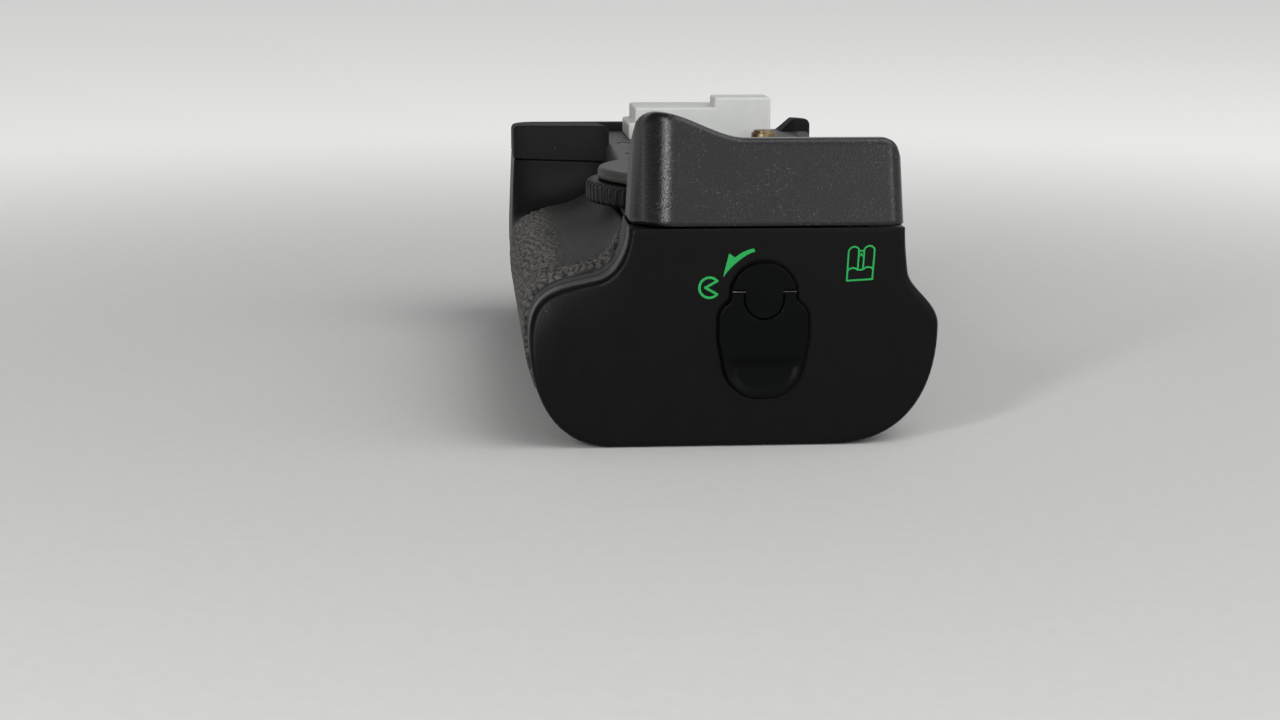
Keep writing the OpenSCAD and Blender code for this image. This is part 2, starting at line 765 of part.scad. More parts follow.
module locating_stud() {
    color("#b08d45") translate([stud_place[0], stud_place[1], 0]) {
        translate([0, 0, plate_z - stud_lip]) cylinder(r = guide_r + stud_lip, h = stud_lip - seat_gap);
        translate([0, 0, plate_z - stud_lip])
            cylinder(r = guide_r, h = plate_t + stud_lip + guide_out - stud_step);
        translate([0, 0, seat_z]) cylinder(r = guide_r - stud_step, h = guide_out);
    }
}

// Tripod socket in the base
bush_r = 5.5;
bush_lip = 1.5;
module tripod_bush() {
    color("#9a9b9d") difference() {
        union() {
            cylinder(r = bush_r, h = socket_depth);
            translate([0, 0, base_t + seat_gap])
                cylinder(r = bush_r + bush_lip, h = socket_depth - base_t - seat_gap);
        }
        translate([0, 0, -1]) cylinder(r = socket_r, h = socket_depth + 2);
    }
}

// Camera screw and thumb wheel, which turn together
collar_r = 3.6;
tip_l = 0.8;
screw_head_w = 5.5;
screw_head_h = 1.6;
washer_t = 0.3;

module camera_screw() {
    color("#b9babc") {
        translate([0, 0, wheel_z + 0.1]) cylinder(r = screw_head_w, h = screw_head_h);
        translate([0, 0, wheel_z + 0.1]) cylinder(r = collar_r, h = seat_z - wheel_z - 0.1);
        translate([0, 0, seat_z - eps]) cylinder(r = screw_r, h = screw_out - tip_l + eps);
        translate([0, 0, seat_z + screw_out - tip_l])
            cylinder(r1 = screw_r, r2 = screw_r - tip_l, h = tip_l);
    }
}

module attachment_wheel() {
    rib_h = 0.7;
    pitch = 360 / wheel_ribs;
    outline = [for (i = [0 : wheel_ribs - 1], s = [[0, 0], [0.3, 0], [0.5, 1], [0.8, 1]])
        (wheel_r - rib_h * s[1]) * [cos((i + s[0]) * pitch), sin((i + s[0]) * pitch)]];
    color("#191919") difference() {
        translate([0, 0, wheel_z]) linear_extrude(wheel_t) polygon(outline);
        translate([0, 0, wheel_z - 1]) cylinder(r = collar_r + 0.02, h = wheel_t + 2);
        translate([0, 0, wheel_z - 1]) cylinder(r = screw_head_w + 0.02, h = screw_head_h + 1.1 + 0.02);
    }
}

module screw_washer() {
    color("#b9babc") translate([0, 0, plate_z - washer_t]) difference() {
        cylinder(r = 8, h = washer_t);
        translate([0, 0, -1]) cylinder(r = collar_r + 0.3, h = washer_t + 2);
    }
}

// Contact springs at the inner end of the chamber, and the magazine's own terminals
terminal_places = [[-9, 8], [0, 8], [9, 8]];
function terminal_at(p) = [chamber_y + p[0], tray_z0 + p[1]];

module chamber_terminals() {
    free = tray_x0 - terminal_t - 0.3;
    color("#c9a24a") for (p = terminal_places) let (q = terminal_at(p))
        translate([0, q[0] + 2, q[1]]) rotate([90, 0, 0]) linear_extrude(4)
            polygon([[chamber_end, -3], [chamber_end + 0.4, -3], [free, 1], [free - 1, 3.6],
                     [free - 1.4, 3.6], [free - 0.5, 1], [chamber_end, -2]]);
}

terminal_t = 0.6;
module magazine_terminals() {
    color("#c9a24a") for (p = terminal_places) let (q = terminal_at(p))
        slab([tray_x0 - terminal_t, q[0] - 3, q[1] - 4], [tray_x0, q[0] + 3, q[1] + 5]);
}

board_back = 20;
board_t = 1.6;
board_z = 10;
board_x = -far_x + board_back;
chip_h = 1.6;
chip_w = 8;
leg_w = 6;
leg_in = 4;
module control_board() {
    y0 = -front_y + wall + leg_in;
    y1 = rear_y - wall - leg_in;
    color("#1f4d33") {
        difference() {
            slab([board_x, y0, board_z], [board_x + board_t, y1, seam_z - wall]);
            rod_x(board_x - 1, board_x + board_t + 1, chamber_y + chamber_half * 0.7, belly_z,
                  wire_r * 0.75);
        }
        for (y = [chamber_y, release_y + chip_w])
            slab([board_x + board_t - eps, y - chip_w / 2, belly_z + 2],
                 [board_x + board_t + chip_h, y + chip_w / 2, belly_z + 2 + chip_w]);
        for (y = [y0, y1 - leg_w])
            slab([board_x + board_t - eps, y, belly_z - leg_w], [flange_x0, y + leg_w, belly_z]);
    }
}

// Battery magazine: spine with three cross walls, cells on both sides, cap, gasket and contacts
module magazine_tray() {
    zc = (tray_z0 + tray_z1) / 2;
    color("#2f3032") difference() {
        union() {
            slab([tray_x0, chamber_y - web_t / 2, tray_z0], [tray_x1, chamber_y + web_t / 2, tray_z1]);
            for (x = [tray_x0, mid_x, tray_x1 - tray_wall])
                slab([x, chamber_y - tray_half, tray_z0], [x + tray_wall, chamber_y + tray_half, tray_z1]);
        }
        for (x = [mid_x - bay_l / 2, mid_x + tray_wall + bay_l / 2])
            rod_y(chamber_y - web_t, chamber_y + web_t, x, zc, 4);
        rod_x(tray_x1 - tray_wall - 1, tray_x1 + 1, latch_y, latch_z, shaft_r + 2.4);
    }
}

function cell_place(i) = [i % 2, floor(i / 2) % 2, floor(i / 4)];
nub_r = 2.7;
nub_l = 1;

module cell(i) {
    p = cell_place(i);
    x0 = (p[0] == 0 ? tray_x0 + tray_wall : mid_x + tray_wall) + contact_room / 2;
    y = chamber_y + (p[1] == 0 ? -cell_y : cell_y);
    z = tray_z0 + 0.3 + cell_d / 2 + p[2] * cell_pitch_z;
    flip = (p[1] + p[2]) % 2 == 1;
    can_l = cell_l - nub_l;
    color(flip ? "#3c3f42" : "#7d6a3c") {
        rod_x(flip ? x0 : x0 + nub_l, flip ? x0 + can_l : x0 + cell_l, y, z, cell_d / 2);
        rod_x(flip ? x0 + can_l - eps : x0, flip ? x0 + cell_l : x0 + nub_l + eps, y, z, nub_r);
    }
}

// Bent strip contacts between each cell's ends and the cross walls
module cell_contacts() {
    strip_t = 0.3;
    room = contact_room / 2;
    wall_xs = [tray_x0 + tray_wall, mid_x, mid_x + tray_wall, tray_x1 - tray_wall];
    color("#c4c6c8") for (w = [0 : 3], side = [-1, 1], row = [0, 1]) {
        y = chamber_y + side * cell_y;
        z = tray_z0 + 0.3 + cell_d / 2 + row * cell_pitch_z;
        dir = w % 2 == 0 ? 1 : -1;
        translate([wall_xs[w], y + 2.5, z]) rotate([90, 0, 0]) linear_extrude(5)
            polygon([[0, -4], [dir * strip_t, -4], [dir * (room - 0.1), 0], [dir * strip_t, 4],
                     [0, 4], [dir * (room - 0.1 - strip_t), 0.4], [dir * (room - 0.1 - strip_t), -0.4]]);
    }
}

// End cap of the magazine, flush with the body, hollow behind its face
face_t = 2;
latch_y = 2.7;
shaft_r = 3;
cap_fixing_r = 3;

module cap_loft(d, x0, x1) {
    steps = [0, 0.1, 0.3, 0.6, 1];
    r = cap_r;
    body_loft(concat(
        [for (s = steps) let (u = s * r)
            at_x(body_section(near_x, d + (d > 0 ? 0 : edge_inset(u, r) * 0.98), lower_z - d), x1 - u)],
        [at_x(body_section(cap_x, d, lower_z - d), x0)]
    ));
}

module magazine_cap() {
    color("#1d1e1f") difference() {
        cap_loft(0, cap_x, near_x);
        difference() {
            cap_loft(wall, cap_x - 1, near_x - face_t);
            rod_x(cap_x - 1, near_x, latch_y, latch_z, shaft_r + 2);
            for (y = [-12, 17], z = [9, 30]) rod_x(cap_x, near_x - 1, y, z, cap_fixing_r);
        }
        rod_x(cap_x - 2, near_x + 1, latch_y, latch_z, shaft_r + pin_gap + 0.03);
        rod_x(cap_x - 2, cap_x + 3.6, latch_y, latch_z, cam_r + 0.3);
    }
}

// Seal pressed between the cap and the chamber's flange
module cap_gasket() {
    x0 = shell_x1 + 0.05;
    color("#141414") difference() {
        slab([x0, chamber_y - tray_half - 2.6, tray_z0 - 0.9],
             [cap_x, chamber_y + tray_half + 2.6, tray_z1 + 1.2]);
        slab([x0 - 1, chamber_y - tray_half - 0.1, tray_z0 - 0.1],
             [cap_x + 1, chamber_y + tray_half + 0.1, tray_z1 + 0.1]);
    }
}

// Turn latch: round plate on a shaft, folding handle on a cross pin, lock cam and clip inside
face_gap = 0.2;
plate_x0 = near_x + face_gap;
plate_x1 = plate_x0 + handle_t;
hinge_x = plate_x0 + handle_t / 2;
hinge_rise = 0.7;
handle_drop = 6.5;
hinge_z = latch_z + hinge_rise;
pin_r = 0.5;
tongue_half = 3.6;
tongue_drop = 5;
tongue_z = latch_z - tongue_drop + tongue_half;
cam_r = 5;
cam_t = 1.6;
ear_r = handle_t / 2;
disc_z = hinge_z + ear_r + 0.2;

module latch_disc() {
    color("#161717") difference() {
        union() {
            intersection() {
                rod_x(plate_x0, plate_x1, latch_y, latch_z, latch_r);
                slab([plate_x0 - 1, latch_y - latch_r, disc_z],
                     [plate_x1 + 1, latch_y + latch_r, latch_z + latch_r]);
            }
            slab([plate_x0, latch_y - tongue_half, tongue_z],
                 [plate_x1, latch_y + tongue_half, disc_z + eps]);
            rod_x(plate_x0, plate_x1, latch_y, tongue_z, tongue_half);
            rod_x(cap_x + cam_t + 0.4, plate_x0 + eps, latch_y, latch_z, shaft_r);
            rod_x(cap_x + 0.2, cap_x + cam_t + 0.5, latch_y, latch_z, shaft_r - 0.8);
        }
        rod_y(latch_y - latch_r, latch_y + latch_r, hinge_x, hinge_z, pin_r + 0.01);
    }
}

module latch_handle() {
    tail_r = handle_w / 2;
    tail_z = latch_z - handle_l + tail_r;
    arm_z = latch_z - handle_drop;
    color("#161717") difference() {
        union() {
            intersection() {
                union() {
                    rod_x(plate_x0, plate_x1, latch_y, tail_z, tail_r);
                    slab([plate_x0, latch_y - handle_w / 2, tail_z],
                         [plate_x1, latch_y + handle_w / 2, arm_z]);
                    rod_x(plate_x0, plate_x1, latch_y, arm_z, handle_w / 2);
                    slab([plate_x0, latch_y - latch_r, arm_z], [plate_x1, latch_y + latch_r, hinge_z]);
                }
                slab([plate_x0 - 1, latch_y - handle_w, latch_z - handle_l - 1],
                     [plate_x1 + 1, latch_y + handle_w, hinge_z]);
            }
            rod_y(latch_y - latch_r, latch_y - tongue_half - 0.2, hinge_x, hinge_z, ear_r);
            rod_y(latch_y + tongue_half + 0.2, latch_y + latch_r, hinge_x, hinge_z, ear_r);
        }
        slab([plate_x0 - 1, latch_y - tongue_half - 0.2, tongue_z],
             [plate_x1 + 1, latch_y + tongue_half + 0.2, disc_z]);
        rod_x(plate_x0 - 1, plate_x1 + 1, latch_y, tongue_z, tongue_half + 0.3);
        rod_y(latch_y - handle_w, latch_y + handle_w, hinge_x, hinge_z, pin_r + pin_gap);
    }
}

module latch_pin() {
    color("#8c8d8f") rod_y(latch_y - latch_r + 0.3, latch_y + latch_r - 0.3, hinge_x, hinge_z, pin_r);
}

module latch_cam() {
    color("#8c8d8f") difference() {
        union() {
            rod_x(cap_x + 0.6, cap_x + 0.6 + cam_t - 0.3, latch_y, latch_z, cam_r - 0.8);
            slab([cap_x + 0.6, latch_y - 1.6, latch_z],
                 [cap_x + 0.3 + cam_t, latch_y + 1.6, latch_z + cam_r - 0.1]);
        }
        rod_x(cap_x, cap_x + 3, latch_y, latch_z, shaft_r - 0.8 + 0.02);
    }
}

module latch_clip() {
    color("#8c8d8f") difference() {
        rod_x(cap_x + 0.2, cap_x + 0.55, latch_y, latch_z, shaft_r);
        rod_x(cap_x - 1, cap_x + 2, latch_y, latch_z, shaft_r - 0.8 + 0.02);
    }
}

// Release button and control dial at the control end
module release_bezel() {
    color("#121212") difference() {
        rod_x(-far_x - bezel_out, -far_x + bezel_deep, release_y, release_z, release_r + bezel_w);
        rod_x(-far_x - bezel_out - 1, -far_x + bezel_deep + 1, release_y, release_z, release_r + 0.2);
    }
}

stem_l = 3;
stem_r = 2;
module release_button() {
    out = bezel_out + release_travel - 0.5;
    color("#151515") {
        rod_x(-far_x - out, -far_x + bezel_deep + 1, release_y, release_z, release_r);
        rod_x(-far_x + bezel_deep + 0.5, -far_x + bezel_deep + stem_l, release_y, release_z, stem_r);
    }
}

switch_half = 4;
module release_switch() {
    x0 = -far_x + bezel_deep + stem_l + release_travel + run_gap;
    color("#8c8d8f") slab([x0, release_y - switch_half, release_z - switch_half],
                          [board_x - pin_gap, release_y + switch_half, release_z + switch_half]);
}

dial_ribs = 30;
module control_dial() {
    rib_h = 0.5;
    pitch = 360 / dial_ribs;
    outline = [for (i = [0 : dial_ribs - 1], s = [[0, 0], [0.4, 0], [0.55, 1], [0.85, 1]])
        (dial_r - rib_h * s[1]) * [cos((i + s[0]) * pitch), sin((i + s[0]) * pitch)]];
    color("#141414") difference() {
        translate([dial_x, dial_y + dial_w / 2, dial_z])
            rotate([90, 0, 0]) linear_extrude(dial_w) polygon(outline);
        rod_y(dial_y - dial_w, dial_y + dial_w, dial_x, dial_z, axle_r + pin_gap);
    }
}

module dial_axle() {
    half = dial_w / 2 + ear_gap + ear_t;
    color("#8c8d8f") rod_y(dial_y - half, dial_y + half, dial_x, dial_z, axle_r);
}

// Rear controls: two buttons and the switch that turns the second controls on
button_xs = [-far_x + 17, -far_x + 34];
button_z = 30;
button_out = 1.2;
button_travel = 0.8;
button_flange = 1.2;
switch_x = -far_x + 17;
switch_z = 17;
switch_l = 12;
switch_h = 6;
knob_l = 6;
switch_travel = 4;

module rear_button(x) {
    inner = rear_y - wall - 0.6;
    color("#151515") {
        rod_y(inner - button_travel, rear_y + button_out, x, button_z, button_r);
        rod_y(inner - button_travel - 1, inner - button_travel, x, button_z, button_r + button_flange);
    }
}

module switch_pocket() {
    slab([switch_x - switch_l / 2 - seat_gap, rear_y - wall - 2, switch_z - switch_h / 2 - seat_gap],
         [switch_x + switch_l / 2 + seat_gap, rear_y + 2, switch_z + switch_h / 2 + seat_gap]);
}

module switch_plate() {
    color("#121212") difference() {
        slab([switch_x - switch_l / 2, rear_y - wall - 1, switch_z - switch_h / 2],
             [switch_x + switch_l / 2, rear_y - 0.5, switch_z + switch_h / 2]);
        slab([switch_x - (knob_l + switch_travel) / 2 - 0.4, rear_y - 1.7, switch_z - 1.9],
             [switch_x + (knob_l + switch_travel) / 2 + 0.4, rear_y, switch_z + 1.9]);
    }
}

module vertical_switch() {
    x0 = switch_x - (knob_l + switch_travel) / 2;
    color("#1b1b1b") {
        slab([x0, rear_y - 1.6, switch_z - 1.6], [x0 + knob_l, rear_y, switch_z + 1.6]);
        for (x = [x0 + 1.2 : 1.5 : x0 + 4.3])
            slab([x, rear_y - eps, switch_z - 1.6], [x + 0.6, rear_y + 0.5, switch_z + 1.6]);
    }
}

CELLS = [for (i = [1 : 8]) str("cell_", i)];

top_cover();
front_cover();
rear_cover();
base_plate();
control_end_cover();
end_rim();
battery_chamber();
near_frame();
far_frame();
front_grip_rubber();
thumb_rubber();
base_screws();
seat_screws();
contact_block();
contact_pins();
contact_cover();
locating_stud();
tripod_bush();
camera_screw();
attachment_wheel();
screw_washer();
chamber_terminals();
control_board();
magazine_tray();
magazine_cap();
cap_gasket();
cell_contacts();
magazine_terminals();
latch_disc();
latch_handle();
latch_pin();
latch_cam();
latch_clip();
release_bezel();
release_button();
release_switch();
control_dial();
dial_axle();
rear_button(button_xs[0]);  // exposure_lock_button
rear_button(button_xs[1]);  // focus_point_button
switch_plate();
vertical_switch();
for (i = [0 : 7]) cell(i);
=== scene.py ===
import json
import math

import bmesh
import bpy
import numpy as np
from mathutils import Matrix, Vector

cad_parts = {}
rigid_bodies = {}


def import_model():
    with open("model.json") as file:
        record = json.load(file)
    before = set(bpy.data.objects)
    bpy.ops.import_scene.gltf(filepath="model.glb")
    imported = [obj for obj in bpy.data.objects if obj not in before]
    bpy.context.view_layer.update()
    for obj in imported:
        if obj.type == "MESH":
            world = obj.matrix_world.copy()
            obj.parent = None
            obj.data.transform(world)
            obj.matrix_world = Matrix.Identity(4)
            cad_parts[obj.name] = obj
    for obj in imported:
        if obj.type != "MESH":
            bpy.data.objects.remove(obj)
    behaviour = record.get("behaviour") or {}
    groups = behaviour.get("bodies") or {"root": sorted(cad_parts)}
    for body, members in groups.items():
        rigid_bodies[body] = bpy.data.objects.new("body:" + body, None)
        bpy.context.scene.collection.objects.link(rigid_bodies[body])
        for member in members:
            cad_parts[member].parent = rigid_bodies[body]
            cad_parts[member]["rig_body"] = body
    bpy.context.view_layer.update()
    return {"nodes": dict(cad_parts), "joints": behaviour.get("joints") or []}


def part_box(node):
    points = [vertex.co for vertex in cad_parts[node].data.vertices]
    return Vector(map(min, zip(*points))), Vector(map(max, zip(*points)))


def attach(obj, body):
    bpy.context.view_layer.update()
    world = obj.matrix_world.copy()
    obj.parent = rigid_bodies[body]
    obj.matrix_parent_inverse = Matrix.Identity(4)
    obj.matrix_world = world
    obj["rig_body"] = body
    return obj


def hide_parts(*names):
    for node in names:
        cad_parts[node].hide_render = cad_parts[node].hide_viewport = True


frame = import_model()

MM = 0.001


def low(node):
    """Lowest corner of a solid, in millimetres."""
    return np.array(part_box(node)[0]) / MM


def high(node):
    """Highest corner of a solid, in millimetres."""
    return np.array(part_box(node)[1]) / MM


def centre(node):
    """Middle of a solid's box, in millimetres."""
    return (low(node) + high(node)) / 2


def half_size(node):
    """Half the size of a solid's box, in millimetres."""
    return (high(node) - low(node)) / 2


def joint_place(name):
    """Point on a joint's axis, in millimetres."""
    found = [j for j in frame["joints"] if j["name"] == name]
    return np.array(found[0]["pos_m"]) / MM


# Sizes read from the solids, in millimetres
near_x, cap_x = high("magazine_cap")[0], low("magazine_cap")[0]
front_y, rear_y = -low("magazine_cap")[1], high("magazine_cap")[1]
lower_z = high("magazine_cap")[2]
rim_x, upper_z, hump_z = low("end_rim")[0], low("end_rim")[2], high("end_rim")[2]
cheek_y, back_y = -low("end_rim")[1], high("end_rim")[1]
far_x = -low("top_cover")[0]
crown_z = high("top_cover")[2]
plate_z = high("screw_washer")[2]
base_front, base_rear = -low("base_plate")[1], high("base_plate")[1]
shell_x0, shell_x1 = low("front_cover")[0], high("front_cover")[0]
wheel_r = high("attachment_wheel")[0]
wheel_z0, wheel_z1 = low("attachment_wheel")[2], high("attachment_wheel")[2]
latch_y, latch_z = joint_place("latch_turn")[1:]
hinge_z = joint_place("latch_flip")[2]
seam_z = (lower_z + upper_z) / 2
cover_gap = 0.05
seat_z = low("contact_cover")[2] - cover_gap

# Shape of the body, in millimetres
waist_y = 17.5
wall = 2.0
shoulder_z, shoulder_in = 30.0, 11.7
belly_z, rear_belly_z, rear_shoulder_z = 20.0, 21.5, 31.5
block_front, block_rear = front_y - 0.7, rear_y - 1.1
block_l, rear_block_l, block_run = 28.0, 38.0, 10.0
block_x0, rear_x0 = far_x - block_l - block_run, far_x - rear_block_l - block_run
cheek_x0, cheek_x1 = near_x - 41, near_x - 16
end_r = 6.0
seam_edge = 0.45
# Power that draws an outline's points together near the parting line
seam_crowd = 1.5


# Small functions of numbers and arrays

def smooth(t):
    """Smooth step: zero below 0, one above 1, and 3t^2 - 2t^3 between."""
    c = np.clip(t, 0, 1)
    return c * c * (3 - 2 * c)


def mix(a, b, t):
    """Share t of the way from a to b."""
    return a + (b - a) * t


def flat(value):
    """A height that is the same at every place."""
    return lambda u, v: value + 0 * u


def roll_off(depth, r):
    """Drop of a round edge of radius r at a distance from the edge: a quarter circle, then zero."""
    u = np.clip(depth, 0, r)
    return r - np.sqrt(np.maximum(r * r - (r - u) ** 2, 0))


def meet(a, b, r):
    """Distance to the overlap of two regions, with a corner of radius r where their edges cross."""
    return np.minimum(np.maximum(a, b), -r) + np.hypot(np.maximum(a + r, 0), np.maximum(b + r, 0))


def blend_join(a, b, r):
    """Distance to two regions together, with the notch between them filled over a width r."""
    h = np.clip(0.5 + 0.5 * (b - a) / r, 0, 1)
    return mix(b, a, h) - r * h * (1 - h)


def stroke(u, v, a, b, width):
    """Distance to a straight stroke with round ends: distance to the segment less half its width."""
    du, dv = b[0] - a[0], b[1] - a[1]
    t = np.clip(((u - a[0]) * du + (v - a[1]) * dv) / (du * du + dv * dv), 0, 1)
    return np.hypot(u - a[0] - t * du, v - a[1] - t * dv) - width / 2


def leather(u, v, cell, seed):
    """Leather grain: points scattered on a wavy net, and how much nearer the nearest is than the next.

    It is 0 in the creases, halfway between two points, and 1 on the pads between them.
    """
    count, wave, crease = 64, 0.35, 0.42
    scatter = np.random.default_rng(seed).random((count, count, 2))
    u, v = u / cell + wave * np.sin(0.9 * v / cell), v / cell + wave * np.sin(0.8 * u / cell)
    i, j = np.floor(u).astype(int), np.floor(v).astype(int)
    steps = [(a, b) for a in (-1, 0, 1) for b in (-1, 0, 1)]
    spots = [scatter[(i + a) % count, (j + b) % count] + np.stack([i + a - u, j + b - v], -1)
             for a, b in steps]
    away = np.partition(np.linalg.norm(np.stack(spots), axis=-1), 1, axis=0)
    return smooth((away[1] - away[0]) / crease)


# Edges of the body at the parting line

def front_edge(x):
    """Lens-side edge: the waist, plus smooth steps out to the cheek and out to the far block."""
    cheek = smooth((x - cheek_x0) / (cheek_x1 - cheek_x0))
    block = smooth((-block_x0 - x) / block_run)
    return -waist_y - (cheek_y - waist_y) * cheek - (block_front - waist_y) * block


def past_front(x, y):
    """Distance past the lens-side edge, measured square to it."""
    reach = 0.05
    slope = (front_edge(x + reach) - front_edge(x - reach)) / (2 * reach)
    return (front_edge(x) - y) / np.hypot(1, slope)


def rear_edge(x):
    """Back edge: a smooth step out to the far block."""
    return mix(back_y, block_rear, smooth((-rear_x0 - x) / block_run))


# Outline of the lower body

def cubic(corners, t):
    """Cubic curve: the four corners weighted by the cubic Bernstein polynomials of t."""
    a, b, c, d = corners
    u = 1 - t
    return u ** 3 * a + 3 * u * u * t * b + 3 * u * t * t * c + t ** 3 * d


def corner(x, y, z):
    """One control point for each station: an array of stations by 1 by (y, z)."""
    return np.stack(np.broadcast_arrays(y + 0 * x, z + 0 * x), -1)


def lens_side(xs, steps):
    """Lens-side outline at each x: three cubics, over the shoulder, round the belly, under to the base."""
    x = np.asarray(xs, float)[:, None]
    block = smooth((-block_x0 - x) / block_run)
    edge = front_edge(x)

    def handle(grip_in, block_in, grip_up, block_up):
        """Control point, in from the belly and up from the shoulder: on the grip, and on the far block."""
        return corner(x, -front_y + mix(grip_in, block_in, block), shoulder_z + mix(grip_up, block_up, block))

    shoulder = handle(shoulder_in, 0.3, 0, 0)
    belly = corner(x, -front_y, belly_z)
    base = corner(x, -base_front, 0)
    over = [corner(x, edge, lower_z), corner(x, edge - 0.2, seam_z - 4.5),
            handle(15.7, 0.4, 0.8, 3), shoulder]
    round_belly = [shoulder, handle(5.9, 0.2, -1.4, -3), handle(0, 0, -1.7, -6), belly]
    under = [belly, corner(x, -front_y, belly_z - 11.5), corner(x, -base_front - 10, 0), base]
    t = np.linspace(0, 1, steps + 1)[None, :, None]
    first = cubic(over, t ** seam_crowd)
    return np.concatenate([first[:, :-1], cubic(round_belly, t[:, :-1]), cubic(under, t)], 1)


def back_side(xs, steps):
    """Back outline at each x: three cubics, out from the base, round the bulge and up to the parting line."""
    x = np.asarray(xs, float)[:, None]
    block = smooth((-rear_x0 - x) / block_run)
    edge = rear_edge(x)

    def handle(out, up):
        """Control point, out from the back, or at the bulge on the far block, and up from the shoulder."""
        return corner(x, mix(back_y + out, rear_y, block), rear_shoulder_z + up)

    belly = corner(x, rear_y, rear_belly_z)
    shoulder = handle(0.6, 0)
    outwards = [corner(x, base_rear, 0), corner(x, base_rear + 13, 0),
                corner(x, rear_y, rear_belly_z - 12.5), belly]
    round_bulge = [belly, corner(x, rear_y, rear_belly_z + 4.5), handle(1, -3.5), shoulder]
    upwards = [shoulder, handle(0.3, 2.5), corner(x, edge, seam_z - 3), corner(x, edge, lower_z)]
    t = np.linspace(0, 1, steps + 1)[None, :, None]
    last = cubic(upwards, 1 - (1 - t) ** seam_crowd)
    return np.concatenate([cubic(outwards, t[:, :-1]), cubic(round_bulge, t[:, :-1]), last], 1)


def inset(curves, depth):
    """Moves outlines inwards along their normals: the tangent turned a quarter turn, times a depth."""
    tangent = np.gradient(curves, axis=1)
    tangent /= np.linalg.norm(tangent, axis=-1, keepdims=True) + 1e-9
    normal = np.stack([-tangent[..., 1], tangent[..., 0]], -1)
    return curves + np.broadcast_to(depth, curves.shape[:-1])[..., None] * normal


def run_length(curves):
    """Length along each outline from its start."""
    steps = np.linalg.norm(np.diff(curves, axis=1), axis=-1)
    return np.concatenate([np.zeros((len(curves), 1)), np.cumsum(steps, 1)], 1)


def at_stations(xs, curves):
    """Points in space: the stations' x beside the outlines' y and z."""
    x = np.broadcast_to(np.asarray(xs, float)[:, None, None], curves.shape[:-1] + (1,))
    return np.concatenate([x, curves], -1)


# Surfaces: an array of points, and a list of arrays of faces

def grid_quads(rows, cols, closed):
    """Faces of a grid of points, row by row; closed joins the last column to the first."""
    j, i = np.meshgrid(np.arange(rows - 1), np.arange(cols if closed else cols - 1), indexing="ij")
    k = (i + 1) % cols
    return np.stack([j * cols + i, j * cols + k, (j + 1) * cols + k, (j + 1) * cols + i], -1).reshape(-1, 4)


def sheet_of(points):
    """Open surface over a grid of points."""
    rows, cols = points.shape[:2]
    return points.reshape(-1, 3), [grid_quads(rows, cols, False)]


def rings_of(rings, capped=True):
    """Surface through closed rings; capped adds a fan from each end ring to its middle."""
    rows, cols = rings.shape[:2]
    points, faces = rings.reshape(-1, 3), [grid_quads(rows, cols, True)]
    if capped:
        around = np.arange(cols)
        after = (around + 1) % cols
        tip = np.full(cols, rows * cols)
        last = (rows - 1) * cols
        points = np.concatenate([points, rings[[0, -1]].mean(1)])
        faces += [np.stack([after, around, tip], -1), np.stack([last + around, last + after, tip + 1], -1)]
    return points, faces


def together(*surfaces):
    """Several surfaces as one: points one after another, faces numbered on from each start."""
    starts = np.cumsum([0] + [len(points) for points, _ in surfaces])
    faces = [block + start for (_, blocks), start in zip(surfaces, starts) for block in blocks]
    return np.concatenate([points for points, _ in surfaces]), faces


